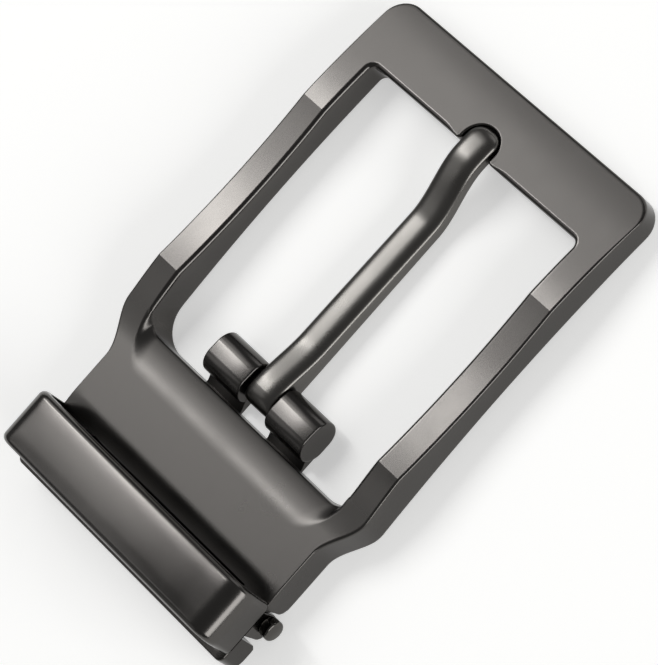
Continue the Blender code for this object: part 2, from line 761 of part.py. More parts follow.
def build_cover(group, guides, material):
    """The cover band of the clamp, with an ear and a leg at each side."""
    ends = (COVER_REAR_X - OVERRUN, COVER_FRONT_X + OVERRUN)
    band = prism("cover_band", [cover_band_outline()], ends[0], ends[1], group)
    turn = Matrix(((0, 0, 1, 0), (1, 0, 0, 0), (0, 1, 0, 0), (0, 0, 0, 1)))
    band.data.transform(turn)
    reach = COVER_HALF_WIDTH + OVERRUN
    side = prism("cover_side", [cover_side_outline()], -reach, reach, group, upright=True)
    combine(band, side, "INTERSECT", guides)
    band = settle(band, "cover_blank", group)
    merge_flat(band)
    weigh_edges(band, cover_bevel_weight, 50.0)
    add_bevel(band, COVER_EDGE_ROUND, "WEIGHT")
    band = settle(band, "cover_rounded", group)
    bore = round_bar("leg_bore", CLAMP_BORE_RADIUS, -reach, reach, CLAMP_X, CLAMP_Z, group, 24)
    combine(band, bore, "DIFFERENCE", guides)
    cover = settle(band, "cover", group)
    finish(cover, material)
    return cover


def build_clamp_pin(group, material):
    """The cross pin of the clamp, with a low domed head outside each leg."""
    inner = COVER_HALF_WIDTH + CLAMP_HEAD_GAP
    profile = [(0.0, -inner - CLAMP_HEAD_HEIGHT)]
    for angle in spaced(15.0, 90.0, 6):
        turn = math.radians(angle)
        dome = CLAMP_HEAD_DOME * (1.0 - math.cos(turn))
        profile.append((CLAMP_HEAD_RADIUS * math.sin(turn), -inner - CLAMP_HEAD_HEIGHT + dome))
    profile.append((CLAMP_HEAD_RADIUS, -inner))
    profile.append((CLAMP_SHAFT_RADIUS, -inner))
    mirrored = [(radius, -y) for radius, y in reversed(profile)]
    pin = turned("clamp_pin", profile + mirrored, CLAMP_X, CLAMP_Z, group, 32)
    finish(pin, material)
    return pin


def lever_side_outline():
    """Closed outline of the lever's middle seen from the side: eye and plate."""
    eye = arc(CLAMP_X, CLAMP_Z, LEVER_EYE_RADIUS, 90.0, -90.0, 14)
    back = [(CLAMP_X - LEVER_BACK_FLAT, 0.0), (CLAMP_X - LEVER_BACK_SLOPE, LEVER_BOTTOM)]
    rear = LEVER_REAR_X + LEVER_FLOOR_INSET
    return [(rear, LEVER_TOP)] + eye + back + [(rear, LEVER_BOTTOM)]


def lever_rim_outline():
    """Closed outline of the lever's outer rim seen from above."""
    radius = LEVER_CORNER_RADIUS
    corner_x = LEVER_REAR_X + radius
    corner_y = PLATE_HALF_WIDTH - radius
    half = [(LEVER_WIDE_START_X, PLATE_HALF_WIDTH)]
    half += arc(corner_x, corner_y, radius, 90.0, 180.0, 7)
    other = [(x, -y) for x, y in reversed(half)]
    inner_y = PLATE_HALF_WIDTH - LEVER_RIM_WIDTH
    inner_x = LEVER_REAR_X + LEVER_LIP_WIDTH
    inner = [(LEVER_WIDE_START_X, -inner_y), (inner_x, -inner_y)]
    return half + other + inner + [(inner_x, inner_y), (LEVER_WIDE_START_X, inner_y)]


def lever_heel_outline():
    """Closed outline of the lever's rim seen from the side, rounded underneath."""
    heel_r = LEVER_HEEL_RADIUS
    toe_r = LEVER_TOE_RADIUS
    low = LEVER_RIM_BOTTOM
    rear = LEVER_REAR_X
    points = [(LEVER_WIDE_START_X, LEVER_RIM_TOP), (rear, LEVER_RIM_TOP)]
    points += arc(rear + heel_r, low + heel_r, heel_r, 180.0, 270.0, 6)
    return points + arc(LEVER_WIDE_START_X - toe_r, low + toe_r, toe_r, -90.0, 0.0, 4)


def build_lever(group, guides, material):
    """The clamp lever under the strap: eye on the cross pin, plate, side walls and rear lip."""
    eye = LEVER_EYE_HALF_WIDTH
    plate = prism("lever_plate", [lever_side_outline()], -eye, eye, group, upright=True)
    rim = prism("lever_rim", [lever_rim_outline()], CUT_BELOW, CUT_ABOVE, group)
    width = PLATE_HALF_WIDTH + OVERRUN
    heel = prism("lever_heel", [lever_heel_outline()], -width, width, group, upright=True)
    combine(rim, heel, "INTERSECT", guides)
    rim = settle(rim, "lever_rim_plain", group)
    merge_flat(rim)
    add_bevel(rim, EDGE_ROUND, segments=2)
    rim = settle(rim, "lever_rim_rounded", group)
    side = PLATE_HALF_WIDTH - LEVER_FLOOR_INSET
    floor = block(
        "lever_floor", (LEVER_REAR_X + LEVER_FLOOR_INSET, LEVER_WIDE_START_X),
        (-side, side), (LEVER_BOTTOM, LEVER_TOP), group)
    combine(plate, floor, "UNION", guides)
    combine(plate, rim, "UNION", guides)
    reach = eye + OVERRUN
    bore = round_bar("lever_bore", CLAMP_BORE_RADIUS, -reach, reach, CLAMP_X, CLAMP_Z, group, 24)
    combine(plate, bore, "DIFFERENCE", guides)
    lever = settle(plate, "lever", group)
    place_origin(lever, CLAMP_X, CLAMP_Z)
    finish(lever, material)
    return lever


def main():
    """Build the buckle."""
    clear_scene()
    group = new_collection("pin_buckle")
    guides = new_collection("cutters")
    build_frame(group, guides, metal("frame_plated_casting", 0.16, 0.34))
    build_prong(group, guides, metal("prong_plated_casting", 0.18, 0.3))
    build_prong_pin(group, metal("prong_pin_steel", 0.3, 0.35))
    build_cover(group, guides, metal("cover_plated_sheet", 0.16, 0.32))
    build_clamp_pin(group, metal("clamp_pin_plated_steel", 0.2, 0.3))
    build_lever(group, guides, metal("lever_plated_casting", 0.15, 0.36))


main()
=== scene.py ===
"""Clip-on pin buckle in black-nickel plate, dressed and lit the way it is photographed.

The buckle lies on its back. +X points from the strap clamp to the notched front bar and
+Z out of the face that is seen. Lengths in the classes are in millimetres and are turned
to metres where the meshes are made.
"""

import logging
import math
from dataclasses import dataclass
from enum import Enum

import bmesh
import bpy
from mathutils import Matrix, Vector


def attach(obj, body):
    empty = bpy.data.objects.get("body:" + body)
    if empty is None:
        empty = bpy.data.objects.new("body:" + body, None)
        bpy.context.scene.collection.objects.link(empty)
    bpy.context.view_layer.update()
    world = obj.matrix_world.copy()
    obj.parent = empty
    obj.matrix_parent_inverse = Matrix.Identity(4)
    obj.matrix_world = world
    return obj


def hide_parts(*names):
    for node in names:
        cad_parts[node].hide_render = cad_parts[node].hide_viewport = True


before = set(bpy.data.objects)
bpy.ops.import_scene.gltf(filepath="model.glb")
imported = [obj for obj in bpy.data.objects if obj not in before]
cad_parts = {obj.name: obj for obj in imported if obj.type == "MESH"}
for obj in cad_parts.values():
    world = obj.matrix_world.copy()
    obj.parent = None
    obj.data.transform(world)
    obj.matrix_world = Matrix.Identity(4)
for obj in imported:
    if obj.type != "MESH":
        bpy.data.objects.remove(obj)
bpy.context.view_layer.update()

MM = 0.001
LOG = logging.getLogger("pin_buckle")

# Where a Mix node that is set to colours has its two colours and its result.
MIX_FIRST_COLOUR = 6
MIX_SECOND_COLOUR = 7
MIX_COLOUR_RESULT = 2

# Points closer than this many metres are one point, and heights closer than the next are level.
SAME_POINT = 1e-7
SAME_HEIGHT = 1e-9
# A face looks up or down where its normal's Z is beyond this.
FLAT_TILT = 0.99
# Width of the flat border inside a flat face's rim, in millimetres. It keeps the shading of the
# rounded rim off the face.
FACE_BORDER = 0.04


class Body(Enum):
    """The hard bodies that the pieces ride on."""

    FRAME = "frame_body"
    PRONG = "prong_body"
    LEVER = "lever_body"


class Draw(Enum):
    """Which way a flat outline is drawn out into a solid."""

    UPWARDS = "an outline in X and Y, drawn out along Z"
    ACROSS = "an outline in X and Z, drawn out along Y"


def linear(hex_colour: str) -> tuple[float, float, float, float]:
    """Turn an sRGB hex colour into the linear colour that the shaders take.

    Args:
        hex_colour: Six hex digits with a leading #.

    Returns:
        Linear red, green, blue and an alpha of one.
    """
    parts = [int(hex_colour[i : i + 2], 16) / 255.0 for i in (1, 3, 5)]
    values = [c / 12.92 if c <= 0.04045 else ((c + 0.055) / 1.055) ** 2.4 for c in parts]
    return (values[0], values[1], values[2], 1.0)


def add_node(
    tree: bpy.types.NodeTree,
    kind: str,
    settings: dict[str, object] | None = None,
    links: dict[str | int, object] | None = None,
) -> bpy.types.Node:
    """Add one node with its settings, its plain values and its incoming links.

    Args:
        tree: Node tree that gets the node.
        kind: Blender's name of the node type.
        settings: Attributes to set on the node itself.
        links: Input name or number to an output socket, or to a plain value.

    Returns:
        The new node.
    """
    node = tree.nodes.new(kind)
    for name, value in (settings or {}).items():
        setattr(node, name, value)
    for name, value in (links or {}).items():
        socket = node.inputs[name]
        if isinstance(value, bpy.types.NodeSocket):
            tree.links.new(value, socket)
        else:
            socket.default_value = value
    return node


def arc_points(
    centre: tuple[float, float], radius: float, start: float, end: float, steps: int
) -> list[Vector]:
    """Points of a circular arc in a plane.

    Args:
        centre: Middle of the arc.
        radius: Radius of the arc.
        start: First angle in degrees.
        end: Last angle in degrees.
        steps: Number of equal parts.

    Returns:
        The points, both ends included.
    """
    angles = [math.radians(start + (end - start) * i / steps) for i in range(steps + 1)]
    cx, cy = centre
    return [Vector((cx + radius * math.cos(a), cy + radius * math.sin(a))) for a in angles]


def spread(start: float, end: float, steps: int) -> list[float]:
    """Evenly spaced numbers, both ends included."""
    return [start + (end - start) * i / steps for i in range(steps + 1)]


def ease(t: float) -> float:
    """Smooth ramp from 0 to 1."""
    t = min(max(t, 0.0), 1.0)
    return t * t * (3.0 - 2.0 * t)


def keep_mesh(name: str, bm: bmesh.types.BMesh) -> bpy.types.Mesh:
    """Turn a worked shape into a mesh of its own.

    Args:
        name: Name of the mesh.
        bm: The worked shape; it is freed.

    Returns:
        The mesh.
    """
    mesh = bpy.data.meshes.new(name)
    bm.to_mesh(mesh)
    bm.free()
    return mesh


def loft_mesh(name: str, rings: list[list[Vector]], closed: bool) -> bpy.types.Mesh:
    """Draw a skin through a row of closed sections.

    Args:
        name: Name of the mesh.
        rings: Sections with equal numbers of points, in millimetres.
        closed: True where the last section joins the first, False where both get a cap.

    Returns:
        A closed mesh in metres with its faces outwards.
    """
    bm = bmesh.new()
    rows = [[bm.verts.new(point * MM) for point in ring] for ring in rings]
    pairs = list(zip(rows, rows[1:]))
    if closed:
        pairs.append((rows[-1], rows[0]))
    count = len(rows[0])
    for first, second in pairs:
        for i in range(count):
            j = (i + 1) % count
            bm.faces.new((first[i], first[j], second[j], second[i]))
    if not closed:
        bm.faces.new(list(reversed(rows[0])))
        bm.faces.new(rows[-1])
    bmesh.ops.remove_doubles(bm, verts=bm.verts, dist=SAME_POINT)
    bmesh.ops.recalc_face_normals(bm, faces=bm.faces)
    return keep_mesh(name, bm)


def join_meshes(name: str, meshes: list[bpy.types.Mesh]) -> bpy.types.Mesh:
    """Put several meshes into one.

    Args:
        name: Name of the result.
        meshes: Meshes to take over; they are removed.

    Returns:
        One mesh with all their faces.
    """
    bm = bmesh.new()
    for mesh in meshes:
        bm.from_mesh(mesh)
        bpy.data.meshes.remove(mesh)
    return keep_mesh(name, bm)


def plate_mesh(
    name: str, outline: list[Vector], low: float, high: float, edge: float,
    draw: Draw = Draw.UPWARDS, steps: int = 4,
) -> bpy.types.Mesh:
    """Draw a flat outline out into a solid with rounded rims.

    Args:
        name: Name of the mesh.
        outline: Closed outline in millimetres, with two coordinates a point.
        low: First level.
        high: Second level.
        edge: Radius of the rims at both levels.
        draw: Way in which the outline is drawn out.
        steps: Parts of each rim.

    Returns:
        A closed mesh in metres.
    """
    bm = bmesh.new()
    verts = [bm.verts.new((p.x * MM, p.y * MM, low * MM)) for p in outline]
    base = bm.faces.new(verts)
    grown = bmesh.ops.extrude_face_region(bm, geom=[base])
    top = [v for v in grown["geom"] if isinstance(v, bmesh.types.BMVert)]
    bmesh.ops.translate(bm, verts=top, vec=(0.0, 0.0, (high - low) * MM))
    bmesh.ops.recalc_face_normals(bm, faces=bm.faces)
    if edge > 0.0:
        rims = [e for e in bm.edges
                if abs(e.verts[0].co.z - e.verts[1].co.z) < SAME_HEIGHT]
        bmesh.ops.bevel(
            bm, geom=rims, offset=edge * MM, offset_type="OFFSET", segments=steps,
            profile=0.5, affect="EDGES", clamp_overlap=True)
        caps = [f for f in bm.faces
                if len(f.verts) > 4 and abs(f.normal.z) > FLAT_TILT]
        bmesh.ops.inset_region(bm, faces=caps, thickness=FACE_BORDER * MM)
    if draw is Draw.ACROSS:
        turn = Matrix(((1, 0, 0), (0, 0, 1), (0, 1, 0)))
        bmesh.ops.transform(bm, matrix=turn.to_4x4(), verts=bm.verts)
    bmesh.ops.recalc_face_normals(bm, faces=bm.faces)
    return keep_mesh(name, bm)


def turned_mesh(
    name: str, profile: list[tuple[float, float]], x: float, z: float, steps: int
) -> bpy.types.Mesh:
    """Turn a profile about a line along Y.

    Args:
        name: Name of the mesh.
        profile: Radius and Y of each point, in millimetres; ends with zero radius close.
        x: Place of the line.
        z: Place of the line.
        steps: Parts of the full turn.

    Returns:
        A mesh of revolution in metres.
    """
    bm = bmesh.new()
    rows = []
    for i in range(steps):
        angle = 2.0 * math.pi * i / steps
        turn = (math.cos(angle), math.sin(angle))
        ring = [Vector((x + r * turn[0], y, z + r * turn[1])) for r, y in profile]
        rows.append([bm.verts.new(point * MM) for point in ring])
    for first, second in zip(rows, rows[1:] + rows[:1]):
        for i in range(len(profile) - 1):
            bm.faces.new((first[i], first[i + 1], second[i + 1], second[i]))
    bmesh.ops.remove_doubles(bm, verts=bm.verts, dist=SAME_POINT)
    bmesh.ops.recalc_face_normals(bm, faces=bm.faces)
    return keep_mesh(name, bm)


class NodeTree:
    """A Geometry Nodes tree with named inputs that is run once and leaves a plain mesh."""

    def __init__(self, name: str, inputs: dict[str, str]) -> None:
        """Make the empty tree.

        Args:
            name: Name of the tree.
            inputs: Input name to the socket type it takes, the geometry left out.
        """
        self.tree = bpy.data.node_groups.new(name, "GeometryNodeTree")
        face = self.tree.interface
        face.new_socket(name="Geometry", in_out="INPUT", socket_type="NodeSocketGeometry")
        self.keys = {
            label: face.new_socket(name=label, in_out="INPUT", socket_type=kind).identifier
            for label, kind in inputs.items()
        }
        face.new_socket(name="Geometry", in_out="OUTPUT", socket_type="NodeSocketGeometry")
        self.start = add_node(self.tree, "NodeGroupInput")
        self.end = add_node(self.tree, "NodeGroupOutput")

    def close(self, geometry: bpy.types.NodeSocket) -> None:
        """End the tree in Realize Instances and Set Material.

        Args:
            geometry: What the tree has made.
        """
        real = add_node(self.tree, "GeometryNodeRealizeInstances", links={"Geometry": geometry})
        metal = add_node(
            self.tree, "GeometryNodeSetMaterial", {},
            {"Geometry": real.outputs["Geometry"], "Material": self.start.outputs["Metal"]})
        self.tree.links.new(metal.outputs["Geometry"], self.end.inputs["Geometry"])

    def run(self, mesh: bpy.types.Mesh, values: dict[str, object]) -> bpy.types.Mesh:
        """Run the tree on a mesh.

        Args:
            mesh: Mesh that the tree starts from; it is removed.
            values: Input name to value.

        Returns:
            The plain mesh that the tree makes.
        """
        host = bpy.data.objects.new(self.tree.name, mesh)
        bpy.context.collection.objects.link(host)
        modifier = host.modifiers.new(self.tree.name, "NODES")
        modifier.node_group = self.tree
        for label, value in values.items():
            modifier[self.keys[label]] = value
        host.update_tag()
        bpy.context.view_layer.update()
        graph = bpy.context.evaluated_depsgraph_get()
        made = bpy.data.meshes.new_from_object(host.evaluated_get(graph))
        host.modifiers.remove(modifier)
        bpy.data.objects.remove(host, do_unlink=True)
        bpy.data.meshes.remove(mesh)
        return made


class MirroredPair(NodeTree):
    """Repeats a piece on the other side of the buckle's middle plane."""

    def __init__(self) -> None:
        """Build the tree: the piece, and its mirror image with its faces turned back."""
        super().__init__("mirrored_pair", {"Metal": "NodeSocketMaterial"})
        source = self.start.outputs["Geometry"]
        image = add_node(
            self.tree, "GeometryNodeTransform", {},
            {"Geometry": source, "Scale": (1.0, -1.0, 1.0)})
        turned = add_node(
            self.tree, "GeometryNodeFlipFaces", {}, {"Mesh": image.outputs["Geometry"]})
        both = add_node(self.tree, "GeometryNodeJoinGeometry")
        self.tree.links.new(source, both.inputs["Geometry"])
        self.tree.links.new(turned.outputs["Mesh"], both.inputs["Geometry"])
        self.close(both.outputs["Geometry"])


class BandSweep(NodeTree):
    """Draws the cover's crowned section along its bent path."""

    BEND_STEPS = 24
    EDGE_STEPS = 8
    SECTION_CUTS = 3
    UPPER_TILT = -0.2

    def __init__(self) -> None:
        """Build the tree: rounded path, crowned and rounded section, sweep with caps."""
        super().__init__("band_sweep", {
            "Metal": "NodeSocketMaterial",
            "Section Width": "NodeSocketFloat",
            "Section Thickness": "NodeSocketFloat",
            "Bend Radius": "NodeSocketFloat",
            "Edge Radius": "NodeSocketFloat",
            "Inner Radius": "NodeSocketFloat",
            "Crown": "NodeSocketFloat",
            "Crest": "NodeSocketFloat",
            "Bow": "NodeSocketFloat",
            "Half Length": "NodeSocketFloat",
            "Path Step": "NodeSocketFloat",
            "Middle": "NodeSocketFloat",
            "Fade Start": "NodeSocketFloat",
            "Fade End": "NodeSocketFloat",
        })
        inputs = self.start.outputs
        path = add_node(
            self.tree, "GeometryNodeMeshToCurve", {}, {"Mesh": inputs["Geometry"]})
        bent = add_node(
            self.tree, "GeometryNodeFilletCurve", {"mode": "POLY"},
            {"Curve": path.outputs["Curve"], "Radius": inputs["Bend Radius"],
             "Limit Radius": True, "Count": self.BEND_STEPS})
        even = add_node(
            self.tree, "GeometryNodeResampleCurve", {"mode": "LENGTH"},
            {"Curve": bent.outputs["Curve"], "Length": inputs["Path Step"]})
        box = add_node(
            self.tree, "GeometryNodeCurvePrimitiveQuadrilateral", {"mode": "RECTANGLE"},
            {"Width": inputs["Section Width"], "Height": inputs["Section Thickness"]})
        place = add_node(self.tree, "GeometryNodeInputPosition")
        parts = add_node(
            self.tree, "ShaderNodeSeparateXYZ", {}, {"Vector": place.outputs["Position"]})
        outer = add_node(
            self.tree, "ShaderNodeMath", {"operation": "LESS_THAN"},
            {0: parts.outputs["Y"], 1: 0.0})
        more = add_node(
            self.tree, "ShaderNodeMath", {"operation": "SUBTRACT"},
            {0: inputs["Edge Radius"], 1: inputs["Inner Radius"]})
        radius = add_node(
            self.tree, "ShaderNodeMath", {"operation": "MULTIPLY_ADD"},
            {0: outer.outputs[0], 1: more.outputs[0], 2: inputs["Inner Radius"]})
        soft = add_node(
            self.tree, "GeometryNodeFilletCurve", {"mode": "POLY"},
            {"Curve": box.outputs["Curve"], "Radius": radius.outputs[0],
             "Limit Radius": True, "Count": self.EDGE_STEPS})
        dense = add_node(
            self.tree, "GeometryNodeSubdivideCurve", {},
            {"Curve": soft.outputs["Curve"], "Cuts": self.SECTION_CUTS})
        sweep = add_node(
            self.tree, "GeometryNodeCurveToMesh", {},
            {"Curve": even.outputs["Curve"], "Profile Curve": dense.outputs["Curve"],
             "Fill Caps": True})
        self.close(self.crown(sweep.outputs["Mesh"]))

    def crown(self, band: bpy.types.NodeSocket) -> bpy.types.NodeSocket:
        """Sink the band's upper face a little away from its crest and its middle.

        The crown fades out at the bends. The bow goes on to the ends.

        Args:
            band: The swept band.

        Returns:
            The crowned band.
        """
        inputs = self.start.outputs
        place = add_node(self.tree, "GeometryNodeInputPosition")
        parts = add_node(
            self.tree, "ShaderNodeSeparateXYZ", {}, {"Vector": place.outputs["Position"]})
        side = add_node(
            self.tree, "ShaderNodeMath", {"operation": "ABSOLUTE"}, {0: parts.outputs["Y"]})
        fade = add_node(
            self.tree, "ShaderNodeMapRange", {"interpolation_type": "SMOOTHSTEP"},
            {"Value": side.outputs[0], "From Min": inputs["Fade Start"],
             "From Max": inputs["Fade End"], "To Min": 1.0, "To Max": 0.0})
        known = {socket.name: socket for socket in inputs}
        known.update(x=parts.outputs["X"], side=side.outputs[0], fade=fade.outputs["Result"])
        # Each row is a result's name, how it is worked out, and from what.
        rows = (
            ("half", "MULTIPLY", "Section Width", 0.5),
            ("along", "SUBTRACT", "x", "Middle"),
            ("share", "DIVIDE", "along", "half"),
            ("behind", "SUBTRACT", "share", "Crest"),
            ("square", "MULTIPLY", "behind", "behind"),
            ("sink", "MULTIPLY", "square", "Crown"),
            ("faded", "MULTIPLY", "sink", "fade"),
            ("far", "DIVIDE", "side", "Half Length"),
            ("far_square", "MULTIPLY", "far", "far"),
            ("bowed", "MULTIPLY", "far_square", "Bow"),
            ("down", "ADD", "faded", "bowed"),
            ("lift", "MULTIPLY", "down", -1.0),
        )
        for name, operation, first, second in rows:
            terms = {0: known.get(first, first), 1: known.get(second, second)}
            made = add_node(self.tree, "ShaderNodeMath", {"operation": operation}, terms)
            known[name] = made.outputs[0]
        shift = add_node(self.tree, "ShaderNodeCombineXYZ", {}, {"Z": known["lift"]})
        face = add_node(self.tree, "GeometryNodeInputNormal")
        tilt = add_node(
            self.tree, "ShaderNodeSeparateXYZ", {}, {"Vector": face.outputs["Normal"]})
        upper = add_node(
            self.tree, "FunctionNodeCompare",
            {"data_type": "FLOAT", "operation": "GREATER_THAN"},
            {0: tilt.outputs["Z"], 1: self.UPPER_TILT})
        moved = add_node(
            self.tree, "GeometryNodeSetPosition", {},
            {"Geometry": band, "Selection": upper.outputs["Result"],
             "Offset": shift.outputs["Vector"]})
        return moved.outputs["Geometry"]


@dataclass(frozen=True)
class PlatedMetal:
    """A plated casting or pressing: a metal shader broken up by the bath and the blast.

    The blast leaves grains of about 0.05 mm. They are drawn three times as coarse, the finest
    that the picture can show. The bath's clouds are drawn at their own size. Sizes are in
    millimetres.
    """

    name: str
    colour: str
    worn: str
    roughness: float
    roughness_spread: float = 0.03
    cloud_size: float = 6.0
    cloud_detail: float = 3.0
    cloud_low: float = 0.3
    cloud_high: float = 0.7
    blast_size: float = 0.16
    blast_detail: float = 2.0
    blast_depth: float = 0.0025
    blast_strength: float = 0.35
    satin: float = 0.0
    satin_from_x: float = -9.0
    satin_to_x: float = -13.0

    def build(self) -> bpy.types.Material:
        """Make the material.

        Returns:
            A metal whose tint and gloss vary a little over the surface.
        """
        material = bpy.data.materials.new(self.name)
        material.use_nodes = True
        tree = material.node_tree
        shader = tree.nodes["Principled BSDF"]
        shader.inputs["Metallic"].default_value = 1.0
        place = add_node(tree, "ShaderNodeTexCoord").outputs["Object"]
        # The plating bath leaves slow clouds in tint and gloss, some millimetres across.
        cloud = add_node(
            tree, "ShaderNodeTexNoise", {"noise_dimensions": "3D"},
            {"Vector": place, "Scale": 1.0 / (self.cloud_size * MM),
             "Detail": self.cloud_detail})
        tint = add_node(
            tree, "ShaderNodeMix", {"data_type": "RGBA"},
            {"Factor": cloud.outputs["Fac"], MIX_FIRST_COLOUR: linear(self.colour),
             MIX_SECOND_COLOUR: linear(self.worn)})
        tree.links.new(tint.outputs[MIX_COLOUR_RESULT], shader.inputs["Base Color"])
        gloss = add_node(
            tree, "ShaderNodeMapRange", {},
            {"Value": cloud.outputs["Fac"], "From Min": self.cloud_low,
             "From Max": self.cloud_high, "To Min": self.roughness - self.roughness_spread,
             "To Max": self.roughness + self.roughness_spread})
        # The clamp end keeps its satin blast, the rest is buffed, so the gloss falls along X.
        axes = add_node(tree, "ShaderNodeSeparateXYZ", {}, {"Vector": place})
        satin = add_node(
            tree, "ShaderNodeMapRange", {"interpolation_type": "SMOOTHSTEP"},
            {"Value": axes.outputs["X"], "From Min": self.satin_from_x * MM,
             "From Max": self.satin_to_x * MM, "To Min": 0.0, "To Max": self.satin})
        rough = add_node(
            tree, "ShaderNodeMath", {"operation": "ADD"},
            {0: gloss.outputs["Result"], 1: satin.outputs["Result"]})
        tree.links.new(rough.outputs["Value"], shader.inputs["Roughness"])
        # The blast leaves a fine even grain that only shows where the light grazes.
        grain = add_node(
            tree, "ShaderNodeTexNoise", {"noise_dimensions": "3D"},
            {"Vector": place, "Scale": 1.0 / (self.blast_size * MM),
             "Detail": self.blast_detail})
        bump = add_node(
            tree, "ShaderNodeBump", {},
            {"Height": grain.outputs["Fac"], "Strength": self.blast_strength,
             "Distance": self.blast_depth * MM})
        tree.links.new(bump.outputs["Normal"], shader.inputs["Normal"])
        return material


# Zinc casting, blasted and plated black nickel: dark warm grey, soft wide highlights, duller
# towards the clamp, where the blast is left as it is.
FRAME_METAL = PlatedMetal(
    "black_nickel_on_satin_zinc_frame", "#4f4d4b", "#565452", 0.2, satin=0.1)
# The prong's base colour is painted lighter than the frame's on the same plate: a painted sheen
# for the brighter highlights it catches. Its rougher gloss gives a broader sheen.
PRONG_METAL = PlatedMetal("black_nickel_on_zinc_prong_painted_sheen", "#64625f", "#6b6966", 0.28)
# Pressed steel sheet under the same plate: flat faces that catch one long clear highlight.
COVER_METAL = PlatedMetal("black_nickel_on_satin_steel_cover", "#504e4c", "#575553", 0.2)
# Turned steel under the same plate: a little lighter on the domed heads.
PIN_METAL = PlatedMetal("black_nickel_on_turned_steel_pin", "#555350", "#5c5a57", 0.2)
# The lever's casting is blasted all over and looks the darkest.
LEVER_METAL = PlatedMetal("black_nickel_on_satin_zinc_lever", "#464442", "#4c4a48", 0.22)
# Drawn steel without any plate: pale grey with a dull shine.
BARE_STEEL = PlatedMetal("plain_drawn_steel_pin", "#8f8d8a", "#989693", 0.3)


@dataclass
class Piece:
    """A dressed piece that stands for one CAD node."""

    name: str
    node: str
    body: Body
    slot: str
    metal: PlatedMetal
    crease_deg: float = 32.0

    def meshes(self, metal: bpy.types.Material) -> list[bpy.types.Mesh]:
        """The meshes that the piece is made of, those from node trees in the given metal."""
        raise NotImplementedError

    def crease(self, mesh: bpy.types.Mesh) -> None:
        """Mark the piece's own creases; a plain piece has none."""

    def build(self) -> bpy.types.Object:
        """Build and dress the piece and set it in the CAD node's place.

        Returns:
            The finished object.
        """
        metal = self.metal.build()
        mesh = join_meshes(self.name, self.meshes(metal))
        mesh.materials.clear()
        mesh.materials.append(metal)
        mesh.polygons.foreach_set("material_index", [0] * len(mesh.polygons))
        mesh.shade_smooth()
        mesh.set_sharp_from_angle(angle=math.radians(self.crease_deg))
        self.crease(mesh)
        item = bpy.data.objects.new(self.name, mesh)
        bpy.context.collection.objects.link(item)
        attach(item, self.body.value)
        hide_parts(self.node)
        LOG.info("built %s with %d faces", self.name, len(mesh.polygons))
        return item


@dataclass
class FrameStation:
    """One section of the frame's ring, in plan: wall, end of the roll, outside and foot.

    The inner edge is rounded by `round_off`. Where `wall_level` is set, the face rolls down to
    that height at the wall, and where `sill` is set, the wall slants to it at the back.
    """

    wall: Vector
    rim: Vector
    outside: Vector
    round_off: float
    wall_level: float | None = None
    foot: Vector | None = None
    sill: Vector | None = None


@dataclass(frozen=True)
class BackCut:
    """A box cut into the frame from below: its front, its rear, half its width and its top."""

    front_x: float
    rear_x: float
    half: float
    top: float


